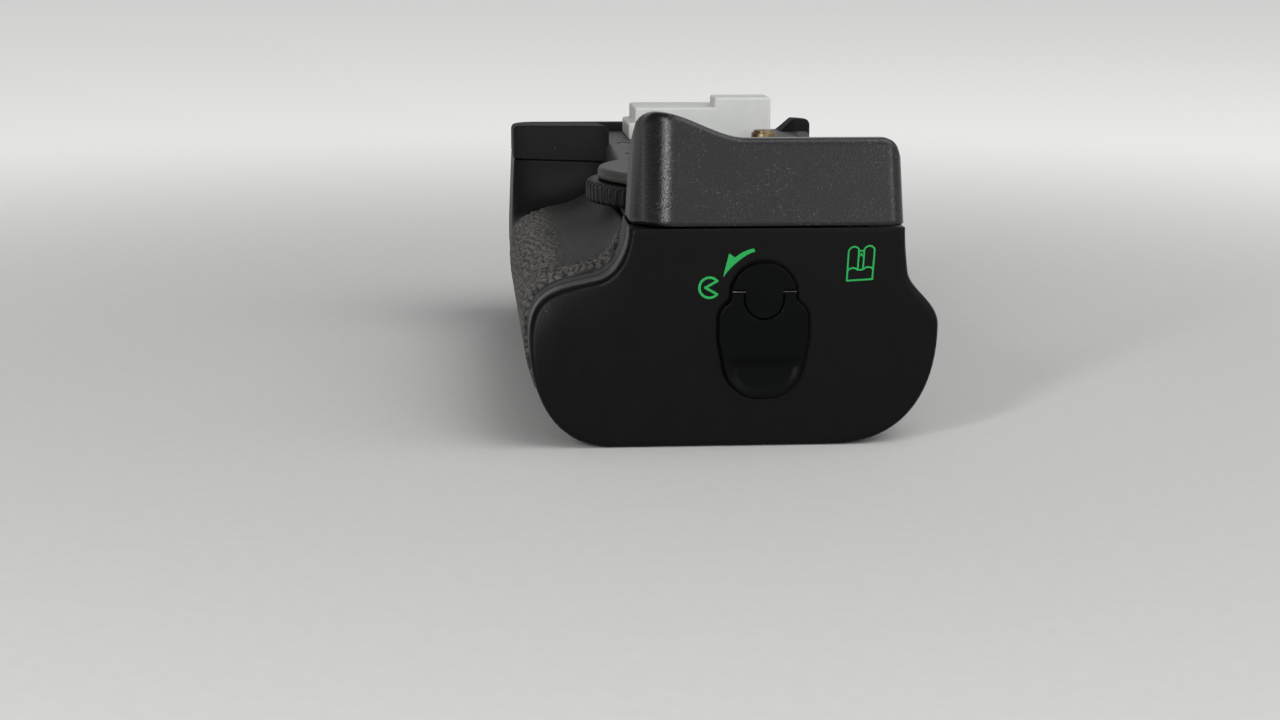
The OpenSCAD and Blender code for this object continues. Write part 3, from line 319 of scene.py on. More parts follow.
def relief(distance, height, base, window, cell, foot=0.0, rows=()):
    """Closed solid over the part of a plane where distance(u, v) is negative.

    The cells whose middle is inside are kept, and their border points are moved along the distance's
    slope onto the edge. The top lies at height(u, v), the underside at base(u, v), and walls join them.
    With a foot, the wall's lower edge is drawn in by that much. The wall has a row of points at each share
    of its height in rows. Returns points as (u, v, h).
    """
    u, v = np.meshgrid(np.arange(window[0], window[1] + cell, cell),
                       np.arange(window[2], window[3] + cell, cell), indexing="ij")
    kept = distance(u[:-1, :-1] + cell / 2, v[:-1, :-1] + cell / 2) < 0
    touch = sum(np.pad(kept, pad).astype(int) for pad in
                (((0, 1), (0, 1)), ((1, 0), (0, 1)), ((0, 1), (1, 0)), ((1, 0), (1, 0))))
    border = (touch > 0) & (touch < 4)
    step, passes, least_slope = cell * 0.05, 3, 0.05
    for _ in range(passes):
        d = distance(u, v)
        su = (distance(u + step, v) - distance(u - step, v)) / (2 * step)
        sv = (distance(u, v + step) - distance(u, v - step)) / (2 * step)
        slope = np.maximum(su * su + sv * sv, least_slope)
        u = np.where(border, u - d * su / slope, u)
        v = np.where(border, v - d * sv / slope, v)
    length = np.hypot(su, sv) + 1e-9
    used = touch > 0
    number = np.full(u.shape, -1)
    count = int(used.sum())
    number[used] = np.arange(count)
    floor = base(u, v)
    top = np.stack([u, v, height(u, v)], -1)[used]
    middle = np.stack([u, v, floor + foot], -1)[used]
    under = np.stack([u - border * foot * su / length, v - border * foot * sv / length, floor], -1)[used]
    levels = [top] + [mix(top, middle, share) for share in rows] + [middle, under]
    i, j = np.nonzero(kept)
    cells = np.stack([number[i, j], number[i + 1, j], number[i + 1, j + 1], number[i, j + 1]], -1)
    wide = np.pad(kept, 1)
    edges = []
    for inside, outside, a, b in ((wide[1:-1, 1:], wide[1:-1, :-1], (0, 0), (1, 0)),
                                  (wide[1:-1, :-1], wide[1:-1, 1:], (1, 0), (0, 0)),
                                  (wide[:-1, 1:-1], wide[1:, 1:-1], (0, 0), (0, 1)),
                                  (wide[1:, 1:-1], wide[:-1, 1:-1], (0, 1), (0, 0))):
        p, q = np.nonzero(inside & ~outside)
        edges.append(np.stack([number[p + a[0], q + a[1]], number[p + b[0], q + b[1]]], -1))
    a, b = np.concatenate(edges).T
    wall_quad = np.stack([a + count, b + count, b, a], -1)
    faces = [cells, cells[:, ::-1] + (len(levels) - 1) * count]
    faces += [wall_quad + k * count for k in range(len(levels) - 1)]
    shown, faces = np.unique(np.concatenate(faces), return_inverse=True)
    return np.concatenate(levels)[shown], [faces.reshape(-1, 4)]


def on_face(surface, sign=1):
    """Stands a relief on an end face: its h along +X or -X, with v up."""
    u, v, h = surface[0].T
    return np.stack([sign * h, sign * u, v], -1), surface[1]


def turned(profile, count, axis_point, axis, wave=None):
    """Rings of revolution: profile points (radius, height) carried round an axis, with an optional wave.

    wave(angle, share) is taken off the radius, where share is the third column that its profile then has.
    """
    angle = np.linspace(0, 2 * np.pi, count, endpoint=False)[None, :]
    radius, height = profile[:, :1], profile[:, 1:2]
    r = radius - (wave(angle, profile[:, 2:3]) if wave else 0)
    across, up = r * np.cos(angle), r * np.sin(angle)
    along = np.broadcast_to(height, across.shape)
    order = {"x": (along, across, up), "y": (up, along, across), "z": (across, up, along)}[axis]
    return np.stack(order, -1) + axis_point


def ribbed_drum(radius, ends, edge, hub, ribs, per_rib, depth, power, place, axis):
    """Drum with round edges and a bore, turned round an axis, with grooves across its outer wall.

    Its half section is a flat end, a round edge, the wall, a round edge and a flat end. The grooves are a
    power of a raised cosine of the angle, taken off the radius.
    """
    steps = 6
    a = np.linspace(0, np.pi / 2, steps)
    on_wall = np.ones(steps)
    lower = np.stack([radius - edge + edge * np.sin(a), ends[0] + edge - edge * np.cos(a), on_wall], -1)
    upper = np.stack([radius - edge + edge * np.cos(a), ends[1] - edge + edge * np.sin(a), on_wall], -1)
    profile = np.concatenate([[[hub, ends[0], 0]], lower, upper, [[hub, ends[1], 0]]])

    def grooves(angle, share):
        return share * depth * (0.5 - 0.5 * np.cos(ribs * angle)) ** power

    rings = turned(profile, ribs * per_rib, place, axis, grooves)
    return rings_of(np.concatenate([rings, rings[:1]]), capped=False)


# Pieces

def put_in_scene(name, mesh, body, slot, replaces):
    """Object for a mesh that rides on a body and stands in for solids; its slot is not used."""
    made = bpy.data.objects.new(name, mesh)
    bpy.context.scene.collection.objects.link(made)
    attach(made, body)
    if replaces:
        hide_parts(*replaces)
    return made


def piece(name, surface, body, slot, finish, replaces=(), sharp=40, attributes=None):
    """Makes a piece of the object from a surface in millimetres, and lets it ride on a body."""
    points, blocks = surface
    mesh = bpy.data.meshes.new(name)
    mesh.from_pydata((np.asarray(points) * MM).tolist(), [], [face for b in blocks for face in b.tolist()])
    for key, values in (attributes or {}).items():
        mesh.attributes.new(key, "FLOAT", "POINT").data.foreach_set("value", np.asarray(values, np.float32))
    mesh.validate()
    mesh.shade_smooth()
    mesh.set_sharp_from_angle(angle=math.radians(sharp))
    mesh.materials.append(finish)
    return put_in_scene(name, mesh, body, slot, replaces)


def thicken(made, thickness):
    """Gives an open surface its wall, grown inwards."""
    solid = made.modifiers.new("wall", "SOLIDIFY")
    solid.thickness = thickness * MM
    solid.offset = -1


def softened_copy(node, width, finish, slot):
    """Copy of a solid with its edges rounded: points merged, flat triangles joined, sharp edges bevelled."""
    weld, level, sharp, segments = 2e-6, math.radians(1), math.radians(40), 3
    work = bmesh.new()
    work.from_mesh(frame["nodes"][node].data)
    bmesh.ops.remove_doubles(work, verts=work.verts, dist=weld)
    bmesh.ops.dissolve_limit(work, angle_limit=level, verts=work.verts, edges=work.edges)
    mesh = bpy.data.meshes.new("soft_" + node)
    work.to_mesh(mesh)
    work.free()
    mesh.shade_smooth()
    mesh.set_sharp_from_angle(angle=sharp)
    mesh.materials.clear()
    mesh.materials.append(finish)
    made = put_in_scene("soft_" + node, mesh, frame["nodes"][node]["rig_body"], slot, [node])
    round_edges = made.modifiers.new("edges", "BEVEL")
    round_edges.width = width * MM
    round_edges.segments = segments
    round_edges.limit_method = "ANGLE"
    round_edges.angle_limit = sharp


# Finishes

class Wire:
    """A socket in a node tree: sums, differences and products of wires and numbers add Math nodes."""

    def __init__(self, tree, socket):
        self.tree = tree
        self.socket = socket

    def node(self, kind, settings, sockets, out=0):
        """Adds a node: its settings first, then the values or links of its sockets."""
        made = self.tree.nodes.new(kind)
        for key, value in settings.items():
            setattr(made, key, value)
        for key, value in sockets.items():
            if isinstance(value, Wire):
                self.tree.links.new(value.socket, made.inputs[key])
            else:
                made.inputs[key].default_value = value
        return Wire(self.tree, made.outputs[out])

    def math(self, operation, first, second):
        """A Math node of two values."""
        return self.node("ShaderNodeMath", {"operation": operation}, {0: first, 1: second})

    def __add__(self, other):
        return self.math("ADD", self, other)

    def __radd__(self, other):
        return self.math("ADD", other, self)

    def __sub__(self, other):
        return self.math("SUBTRACT", self, other)

    def __rsub__(self, other):
        return self.math("SUBTRACT", other, self)

    def __mul__(self, other):
        return self.math("MULTIPLY", self, other)

    def __rmul__(self, other):
        return self.math("MULTIPLY", other, self)

    def above(self, level, width):
        """Soft step: 0 below the level and 1 above it, over a width."""
        return self.node("ShaderNodeMapRange", {"interpolation_type": "SMOOTHSTEP"},
                         {"Value": self, "From Min": level - width / 2, "From Max": level + width / 2})

    def shade(self, first, second):
        """Colour from the first to the second, each fixed or a wire, by this value."""
        ends = [c if isinstance(c, Wire) else (*c, 1) for c in (first, second)]
        return self.node("ShaderNodeMix", {"data_type": "RGBA"}, {0: self, 6: ends[0], 7: ends[1]}, out=2)

    def noise(self, size_mm, detail=2.0, rough=0.5):
        """Cloudy noise whose features are about size_mm wide, read at this place."""
        return self.node("ShaderNodeTexNoise", {},
                         {"Vector": self, "Scale": 1 / (size_mm * MM), "Detail": detail, "Roughness": rough})

    def cells(self, size_mm, feature="F1", out=0):
        """Cells about size_mm wide, read at this place: distance (out 0) or a colour a cell (out 1)."""
        return self.node("ShaderNodeTexVoronoi", {"feature": feature},
                         {"Vector": self, "Scale": 1 / (size_mm * MM)}, out=out)

    def axis(self, number):
        """One coordinate of this place: 0 for x, 1 for y, 2 for z."""
        return self.node("ShaderNodeSeparateXYZ", {}, {0: self}, out=number)


class Finish:
    """A material on a Principled shader, with object coordinates as its place."""

    def __init__(self, name, **constants):
        self.material = bpy.data.materials.new(name)
        self.material.use_nodes = True
        tree = self.material.node_tree
        self.shader = tree.nodes["Principled BSDF"]
        self.place = Wire(tree, None).node("ShaderNodeTexCoord", {}, {}, out="Object")
        for key, value in constants.items():
            self.shader.inputs[key.replace("_", " ")].default_value = value

    def feed(self, socket, wire):
        """Links a value or colour to the shader."""
        self.place.tree.links.new(wire.socket, self.shader.inputs[socket])

    def bump(self, height, depth_mm):
        """Relief in the shading normal, from a height of 0 to 1 over a depth."""
        sockets = {"Strength": 1.0, "Distance": depth_mm * MM, "Height": height}
        self.feed("Normal", self.place.node("ShaderNodeBump", {}, sockets))

    def attribute(self, name):
        """A number stored on the mesh's points."""
        return self.place.node("ShaderNodeAttribute", {"attribute_name": name}, {}, out=2)


seat_shades = (0.022, 0.021, 0.0195), (0.042, 0.04, 0.0375)
# Dust grey is real dust; the fleck grey is a painted glint, and the pit black is painted shade in the pits
dust_grey, painted_glint_grey, pit_shade_black = (0.07, 0.068, 0.064), (0.16, 0.163, 0.168), (0.0015, 0.0015, 0.0015)


def moulded(name, dark, light, rough, specular, grain_mm=0.24, depth_mm=0.03,
            painted_glint=0.0, pit_and_shade=0.0, seat_from=None):
    """Black moulded plastic: spark texture, soft mottling, flecks with a painted glint, pits with painted
    shade and a little dust.

    With seat_from, what lies past that x, towards the seat, has the seat's matt grey.
    """
    blotch_mm, dust_mm, pit_mm, seat_edge_mm = 6.0, 1.3, 1.1, 1.6
    f = Finish(name, Specular_IOR_Level=specular, IOR=1.5)
    grain = f.place.noise(grain_mm, 3, 0.65)
    blotch = f.place.noise(blotch_mm, 4, 0.6)
    mottle = blotch * 0.55 + grain * 0.45
    colour = mottle.shade(dark, light)
    chance = f.place.node("ShaderNodeSeparateColor", {}, {0: f.place.cells(dust_mm, out=1)})
    spot = 1 - f.place.cells(dust_mm).above(0.14, 0.12)
    colour = (spot * chance.above(0.985, 0.004) * 0.5).shade(colour, dust_grey)
    glint_fleck = f.place.noise(grain_mm * 1.3, 2, 0.7).above(0.66, 0.1) * blotch.above(0.47, 0.3)
    hollow = f.place.noise(pit_mm, 2, 0.6).above(0.68, 0.05) * blotch.above(0.55, 0.2)
    if painted_glint:
        # Flecks painted light grey: a painted glint
        colour = (glint_fleck * painted_glint).shade(colour, painted_glint_grey)
    if pit_and_shade:
        # Pits painted near black: painted shade in the pits, which the bump below also dents
        colour = (hollow * pit_and_shade).shade(colour, pit_shade_black)
    gloss = rough + (grain - 0.5) * 0.3 + (blotch - 0.5) * 0.12 - glint_fleck * 0.1
    if seat_from:
        seat = 1 - f.place.axis(0).above(seat_from * MM, seat_edge_mm * MM)
        colour = seat.shade(colour, mottle.shade(*seat_shades))
        gloss = gloss + seat * 0.25
    f.feed("Base Color", colour)
    f.feed("Roughness", gloss)
    f.bump(grain - hollow * pit_and_shade, depth_mm)
    return f.material


def rubber(name):
    """Grip rubber: leather grain with a painted highlight on its pads and painted shade in its creases, and
    fine pores.
    """
    f = Finish(name, Specular_IOR_Level=0.36, IOR=1.5)
    raised = f.attribute("grain")
    fine = f.place.noise(0.28, 3, 0.7)
    blotch = f.place.noise(6, 3)
    # Painted highlight on the raised pads and painted shade in the creases, with fine pores and blotchy tone
    painted_light_and_tone = raised * 0.95 + fine * 0.24 + blotch * 0.2 - 0.2
    f.feed("Base Color", painted_light_and_tone.shade((0.0012, 0.0011, 0.001), (0.074, 0.068, 0.062)))
    f.feed("Roughness", 0.64 - raised * 0.24 + (fine - 0.5) * 0.2)
    f.bump(fine, 0.12)
    return f.material


def milky(name):
    """Milky moulded plastic that lets some light through."""
    f = Finish(name, Transmission_Weight=0.25, IOR=1.4, Specular_IOR_Level=0.3)
    cloud = f.place.noise(5, 3)
    f.feed("Base Color", cloud.shade((0.62, 0.635, 0.61), (0.73, 0.74, 0.715)))
    f.feed("Roughness", 0.42 + cloud * 0.15)
    f.bump(f.place.noise(0.5, 2), 0.02)
    return f.material


def metal(name, dark, light, rough):
    """Plain or plated metal: fine scratches along one way, cloudy tarnish, uneven gloss."""
    scratch_mm, cloud_mm, stretch, turn = 0.24, 2.4, (0.15, 1, 1), (0, 0, 0.7)
    f = Finish(name, Metallic=1.0)
    drawn = f.place.node("ShaderNodeMapping", {}, {"Vector": f.place, "Scale": stretch, "Rotation": turn})
    scratch = drawn.noise(scratch_mm, 3)
    cloud = f.place.noise(cloud_mm, 3)
    f.feed("Base Color", (cloud * 0.6 + scratch * 0.4).shade(dark, light))
    f.feed("Roughness", rough + (scratch - 0.5) * 0.25 + (cloud - 0.5) * 0.1)
    f.bump(scratch, 0.01)
    return f.material


def printed(name, dark, light):
    """Screen-printed ink: even colour with a little wear, slightly matt."""
    f = Finish(name, Specular_IOR_Level=0.3)
    wear = f.place.noise(0.35, 3)
    f.feed("Base Color", wear.shade(dark, light))
    f.feed("Roughness", 0.5 + wear * 0.2)
    return f.material


def board(name):
    """Circuit board: green mask over faint copper tracks."""
    f = Finish(name, Specular_IOR_Level=0.5)
    tracks = f.place.cells(2.2, "DISTANCE_TO_EDGE").above(0.08, 0.03)
    f.feed("Base Color", tracks.shade((0.03, 0.12, 0.05), (0.008, 0.055, 0.022)))
    f.feed("Roughness", 0.35 + f.place.noise(0.8, 2) * 0.2)
    f.bump(tracks, 0.03)
    return f.material


def cell_wrap(name):
    """Battery wrap: a dark sleeve with a warm band, by the share of the cell's length on its points."""
    f = Finish(name, Specular_IOR_Level=0.5)
    band = f.attribute("along").above(0.72, 0.01)
    metal_end = f.attribute("bare").above(0.5, 0.02)
    scuff = f.place.noise(1.2, 3)
    sleeve = (band * 0.9 + scuff * 0.1).shade((0.012, 0.013, 0.014), (0.42, 0.23, 0.07))
    f.feed("Base Color", metal_end.shade(sleeve, (0.6, 0.6, 0.58)))
    f.feed("Metallic", metal_end + band * (1 - metal_end) * 0.6)
    f.feed("Roughness", 0.3 + scuff * 0.15)
    return f.material


seat_line = near_x - 7.6
finishes = {
    "cover_black": moulded("cover_black", (0.0022, 0.0025, 0.0022), (0.0052, 0.0057, 0.0051),
                           rough=0.33, specular=0.085, pit_and_shade=0.6),
    "body_black": moulded("body_black", (0.0042, 0.0046, 0.0042), (0.0088, 0.0093, 0.0086),
                          rough=0.4, specular=0.05),
    "rear_black": moulded("rear_black", (0.004, 0.0043, 0.004), (0.009, 0.0095, 0.009),
                          rough=0.42, specular=0.28),
    "end_black": moulded("end_black", (0.005, 0.0053, 0.005), (0.011, 0.0115, 0.011),
                         rough=0.45, specular=0.12),
    "rim_black": moulded("rim_black", (0.003, 0.0032, 0.0037), (0.0085, 0.0088, 0.0098), rough=0.25,
                         specular=0.42, grain_mm=0.36, depth_mm=0.05,
                         painted_glint=0.42, pit_and_shade=0.8, seat_from=seat_line),
    "seat_grey": moulded("seat_grey", *seat_shades, rough=0.5, specular=0.45,
                         grain_mm=0.34, depth_mm=0.06, painted_glint=0.1),
    "block_black": moulded("block_black", (0.008, 0.0086, 0.008), (0.016, 0.0166, 0.0156),
                           rough=0.55, specular=0.03),
    "frame_black": moulded("frame_black", (0.014, 0.0145, 0.015), (0.024, 0.025, 0.026),
                           rough=0.6, specular=0.35, grain_mm=0.3, depth_mm=0.02),
    "grip_rubber": rubber("grip_rubber"),
    "control_black": moulded("control_black", (0.0014, 0.0016, 0.0016), (0.003, 0.0034, 0.0034),
                             rough=0.33, specular=0.05, grain_mm=0.18, depth_mm=0.01),
    "wheel_grey": moulded("wheel_grey", (0.0035, 0.0031, 0.0029), (0.008, 0.0073, 0.007),
                          rough=0.42, specular=0.16, grain_mm=0.3),
    "seal_rubber": moulded("seal_rubber", (0.008, 0.008, 0.008), (0.016, 0.016, 0.016),
                           rough=0.8, specular=0.25, grain_mm=0.3, depth_mm=0.02),
    "milky_cover": milky("milky_cover"),
    "contact_gold": metal("contact_gold", (0.75, 0.5, 0.16), (0.95, 0.72, 0.32), rough=0.25),
    "brass": metal("brass", (0.16, 0.115, 0.065), (0.27, 0.2, 0.12), rough=0.42),
    "steel": metal("steel", (0.45, 0.45, 0.46), (0.66, 0.66, 0.66), rough=0.3),
    "dark_steel": metal("dark_steel", (0.05, 0.05, 0.052), (0.11, 0.11, 0.112), rough=0.4),
    "board_green": board("board_green"),
    "cell_wrap": cell_wrap("cell_wrap"),
    "sign_green": printed("sign_green", (0.006, 0.265, 0.05), (0.013, 0.36, 0.08)),
}


# Covers of the lower body

# For each rubber, the body's outline and the outline's points where it starts and ends
pads = {"front_grip_rubber": (lens_side, 20, 116), "thumb_rubber": (back_side, 24, 76)}
pad_steps, pad_corner = 44, 6.0
cover_steps = 34


def pad_span(node, xs):
    """Where a rubber starts and ends at each station, as lengths along the body's outline."""
    side, first, last = pads[node]
    length = run_length(side(xs, pad_steps))
    return length[:, first:first + 1], length[:, last:last + 1]


def pad_border(node, xs, length):
    """Distance inside a rubber's border: a rectangle of length along the outline by x, with round corners."""
    start, stop = pad_span(node, xs)
    x0, x1 = low(node)[0], high(node)[0]
    across = np.abs(length - (start + stop) / 2) - (stop - start) / 2
    along = np.broadcast_to(np.maximum(x0 - xs, xs - x1)[:, None], length.shape)
    return -meet(across, along, pad_corner)


def cover_stations(node):
    """Stations along a cover, closer at its rounded ends, at the rubber's ends and at the block's curve."""
    edge = seam_edge * np.array([0, 0.12, 0.35, 0.7, 1])
    near_pad = np.linspace(-1.5, 1.5, 16)
    margin, clear = 1.5, seam_edge + 0.1
    curve_x0, curve_x1 = -block_x0 - block_run - 1, -27.0
    spread = np.concatenate([np.linspace(shell_x0 + margin, curve_x0 - 2, 8),
                             np.linspace(curve_x0, curve_x1, 50),
                             np.linspace(curve_x1 + 1, shell_x1 - margin, 60),
                             low(node)[0] + near_pad, high(node)[0] + near_pad])
    inner = spread[(spread > shell_x0 + clear) & (spread < shell_x1 - clear)]
    return np.concatenate([shell_x0 + edge, np.unique(np.round(inner, 3)), shell_x1 - edge[::-1]])


def cover_edges(node, xs, curves):
    """Depth of the rounded edges at the ends and the parting line, and of a groove round the rubber."""
    groove_depth, groove_w, groove_out = 0.6, 0.35, 0.1
    ends = np.minimum(shell_x1 - xs, xs - shell_x0)
    groove = np.exp(-((pad_border(node, xs, run_length(curves)) + groove_out) / groove_w) ** 2)
    seam = roll_off(lower_z - curves[..., 1], seam_edge)
    return roll_off(ends, seam_edge)[:, None] + seam + groove_depth * groove


def front_shell():
    """Lens-side cover: the lens-side outline carried along x, drawn in at its edges."""
    xs = cover_stations("front_grip_rubber")
    curves = lens_side(xs, cover_steps)
    depth = cover_edges("front_grip_rubber", xs, curves)
    made = piece("front_shell", sheet_of(at_stations(xs, inset(curves, depth))),
                 "housing", "cover_black", finishes["body_black"], ["front_cover"])
    thicken(made, wall)


def rear_shell():
    """Back cover: the back outline carried along x, with a shallow round dish at each button."""
    well_r, well_slope, well_depth = 6.4, 2.4, 0.55
    xs = cover_stations("thumb_rubber")
    curves = back_side(xs, cover_steps)
    depth = cover_edges("thumb_rubber", xs, curves)
    for node in ("exposure_lock_button", "focus_point_button"):
        away = np.hypot(xs[:, None] - centre(node)[0], curves[..., 1] - centre(node)[2])
        depth = depth + well_depth * smooth((well_r - away) / well_slope)
    made = piece("rear_shell", sheet_of(at_stations(xs, inset(curves, depth))),
                 "housing", "cover_black", finishes["rear_black"], ["rear_cover"])
    thicken(made, wall)


# Latch outlines on the cap's face, about the latch's axis: y across and z up

plate_base, plate_top, plate_edge = near_x + 0.25, near_x + 1.15, 0.2
disc_r, disc_gap = 5.85, 0.3
tongue_r, tongue_z, tongue_gap = 3.4, latch_z - 0.7, 0.2
tongue_top, gap_top = latch_z + 2, latch_z + 6
handle_half, handle_foot, handle_mid, handle_gap = 8.0, 9.0, 19.5, 0.15
taper, foot_bow, foot_r, tail_drop, tail_r = 0.19, 0.015, 4.5, 1.6, 3.4
ear_in, ear_fill = 0.1, 0.9
pocket_gap, pocket_up = 0.2, 1.0


def disc_distance(y, z):
    """Upper half disc with a round tongue below it."""
    across = y - latch_y
    upper = np.maximum(np.hypot(across, z - latch_z) - disc_r, hinge_z + disc_gap - z)
    tongue = stroke(across, z, (0, tongue_z), (0, tongue_top), 2 * tongue_r)
    return np.minimum(upper, tongue)


def tail_distance(y, z):
    """Tail of the handle: sides that draw in below the middle, a bowed foot, and round corners."""
    across = np.abs(y - latch_y)
    side = across - handle_half + taper * np.maximum(handle_mid - z, 0)
    foot = handle_foot + foot_bow * across ** 2 - z
    return np.maximum(meet(side, foot, foot_r), meet(side, z - hinge_z + tail_drop, tail_r))


def handle_distance(y, z):
    """Handle: the tail and two ears up to the hinge, less the gap round the tongue."""
    across = np.abs(y - latch_y)
    ears = np.maximum(across - disc_r + ear_in, handle_mid - z)
    body = np.maximum(blend_join(tail_distance(y, z), ears, ear_fill), z - hinge_z + handle_gap)
    gap = stroke(y - latch_y, z, (0, tongue_z), (0, gap_top), 2 * (tongue_r + tongue_gap))
    return np.maximum(body, -gap)


def latch_pocket(y, z):
    """Disc and handle together, as one outline grown by the gap round them."""
    across = np.abs(y - latch_y)
    above = z - hinge_z - pocket_up
    neck = np.maximum(across - disc_r + ear_in, np.maximum(above, handle_mid - z))
    disc = np.hypot(across, z - latch_z) - disc_r
    body = np.maximum(blend_join(tail_distance(y, z), neck, ear_fill), above)
    return np.minimum(body, disc) - pocket_gap


# End faces

face_cell, face_seam, face_sharp = 0.33, 0.3, 50


def loop_distance(loop, y, z):
    """Distance to the nearest edge of a closed outline, negative inside it.

    A point is inside where a line from it to the side crosses the outline an odd number of times.
    """
    a, b = loop, np.roll(loop, -1, 0)
    along = b - a
    p = np.stack([y, z], -1)[..., None, :]
    t = np.clip(((p - a) * along).sum(-1) / (along ** 2).sum(-1), 0, 1)
    nearest = np.linalg.norm(p - a - t[..., None] * along, axis=-1).min(-1)
    level = z[..., None]
    spans = (a[:, 1] > level) != (b[:, 1] > level)
    rise = np.where(along[:, 1] == 0, 1, along[:, 1])
    beside = y[..., None] < a[:, 0] + (level - a[:, 1]) * along[:, 0] / rise
    inside = (spans & beside).sum(-1) % 2 == 1
    return np.where(inside, -nearest, nearest)


def open_section(x):
    """Outline of the lower body at x, carried on upwards past the parting line."""
    steps, above = 20, np.array([0, 20.0])
    lens, back = lens_side([x], steps)[0], back_side([x], steps)[0]
    return np.concatenate([[lens[0] + above], lens, back, [back[-1] + above]])


def end_cup():
    """Control end: a hollow relief over the end section with a round edge, open for release and dial."""
    sides = open_section(-far_x + end_r)
    release, dial = centre("release_bezel"), centre("control_dial")
    release_r = half_size("release_bezel")[2] - 0.1
    dial_half, slot_half, slot_r, slot_edge = half_size("control_dial")[1] + 0.5, 7.2, 1.2, 0.6
    plate, wall_in, wall_run = 1.2, 1.5, 4
    mouth = -shell_x0 + 0.1

    def openings(u, z):
        hole = np.hypot(u + release[1], z - release[2]) - release_r
        slot = meet(np.abs(u + dial[1]) - dial_half, np.abs(z - dial[2]) - slot_half, slot_r)
        return hole, slot

    def distance(u, z):
        hole, slot = openings(u, z)
        return np.maximum.reduce([loop_distance(sides, -u, z), z - lower_z, -hole, -slot])

    def height(u, z):
        edge = roll_off(-loop_distance(sides, -u, z), end_r) + roll_off(lower_z - z, face_seam)
        return far_x - edge - roll_off(openings(u, z)[1], slot_edge)

    def base(u, z):
        return mix(mouth, far_x - plate, smooth((-loop_distance(sides, -u, z) - wall_in) / wall_run))

    window = (-rear_y - 1, front_y + 1, -1, lower_z + 1)
    surface = relief(distance, height, base, window, face_cell, foot=0.3, rows=(0.1, 0.5, 0.9))
    piece("end_cup", on_face(surface, -1), "housing", "cover_black",
          finishes["end_black"], ["control_end_cover"], face_sharp)


def magazine_cap_shell():
    """Cap: a relief over the end section, less the latch's pocket, with a round edge.

    The face is crowned towards the lens-side shoulder: it falls by a power of the nearness to the edge there.
    """
    sides = open_section(near_x)
    cap_back = shell_x1 + 0.15
    cap_edge, pocket_edge = 1.0, 0.12
    crown_y, crown_low, crown_run_y, crown_run_z = -18, 12, 18, 16
    crown_drop, crown_w, crown_power = 1.7, 9, 2.2
    floor_in, floor_depth, floor_under, floor_cell = 0.15, 0.7, 2.0, 0.4

    def distance(y, z):
        return np.maximum.reduce([loop_distance(sides, y, z), z - lower_z, -latch_pocket(y, z)])

    def height(y, z):
        inside = -loop_distance(sides, y, z)
        crown = smooth((z - crown_low) / crown_run_z) * smooth((crown_y - y) / crown_run_y)
        fall = crown_drop * np.clip(1 - inside / crown_w, 0, 1) ** crown_power
        edges = roll_off(lower_z - z, face_seam) + roll_off(latch_pocket(y, z), pocket_edge)
        return near_x - roll_off(inside, cap_edge) - crown * fall - edges

    def floor_distance(y, z):
        return latch_pocket(y, z) - floor_in

    window = (-front_y - 1, rear_y + 1, -1, lower_z + 1)
    cap = relief(distance, height, flat(cap_back), window, face_cell, foot=0.2)
    floor = relief(floor_distance, flat(near_x - floor_depth), flat(near_x - floor_under),
                   (-8, 14, 6, 36), floor_cell)
    piece("cap_shell", on_face(together(cap, floor)), "magazine", "cover_black",
          finishes["cover_black"], ["magazine_cap"], face_sharp)


def latch_plate():
    """Round plate: a flat plate over the disc's outline with a rolled edge, on its shaft."""
    window = (latch_y - 7, latch_y + 7, latch_z - 6, latch_z + 7)
    shaft_r, shaft_in = 3.0, 2

    def height(y, z):
        return plate_top - roll_off(-disc_distance(y, z), plate_edge)

    plate = relief(disc_distance, height, flat(plate_base), window, 0.12)
    profile = np.array([[shaft_r, cap_x + shaft_in], [shaft_r, plate_base + 0.3]])
    shaft = rings_of(turned(profile, 48, np.array([0, latch_y, latch_z]), "x"))
    piece("latch_plate", together(on_face(plate), shaft), "latch_turner", "control_black",
          finishes["control_black"], ["latch_disc"])


def latch_lever():
    """Folding handle: a plate over the handle's outline, with a finger scoop in its tail."""
    window = (latch_y - 9.5, latch_y + 9.5, handle_foot - 1, hinge_z + 1)
    scoop_z, scoop_depth, scoop_power, scoop_in, scoop_side = 16.3, 0.7, 0.7, 0.2, 2

    def height(y, z):
        down = (scoop_z - z) / (scoop_z - handle_foot)
        dip = scoop_depth * smooth(down * 3 + 0.2) * (1 - np.clip(down, 0, 1)) ** scoop_power
        side = smooth((-tail_distance(y, z) - scoop_in) / scoop_side)
        return plate_top - dip * side - roll_off(-handle_distance(y, z), plate_edge)

    handle = relief(handle_distance, height, flat(plate_base), window, 0.14)
    piece("latch_lever_plate", on_face(handle), "latch_lever", "control_black",
          finishes["control_black"], ["latch_handle"])


def hinge_wire():
    """Hinge pin: a thin wire across the latch, which shows in the gap between plate and handle."""
    r, tip_r, tip = 0.14, 0.1, 0.05
    middle = np.array([plate_top - 0.3, centre("latch_pin")[1], hinge_z])
    half = half_size("latch_pin")[1]
    profile = np.array([[tip_r, -half], [r, -half + tip], [r, half - tip], [tip_r, half]])
    piece("hinge_wire", rings_of(turned(profile, 20, middle, "y")), "latch_turner", "steel",
          finishes["dark_steel"], ["latch_pin"])


# Printed signs on the cap's face, with places in y and z

ink_top, ink_base, ink_cell = near_x + 0.035, near_x - 0.06, 0.09


def sign(name, distance, window):
    """Printed mark: a thin relief over its outline on the cap's face."""
    ink = relief(distance, flat(ink_top), flat(ink_base), window, ink_cell)
    piece(name, on_face(ink), "magazine", "cover_black", finishes["sign_green"])


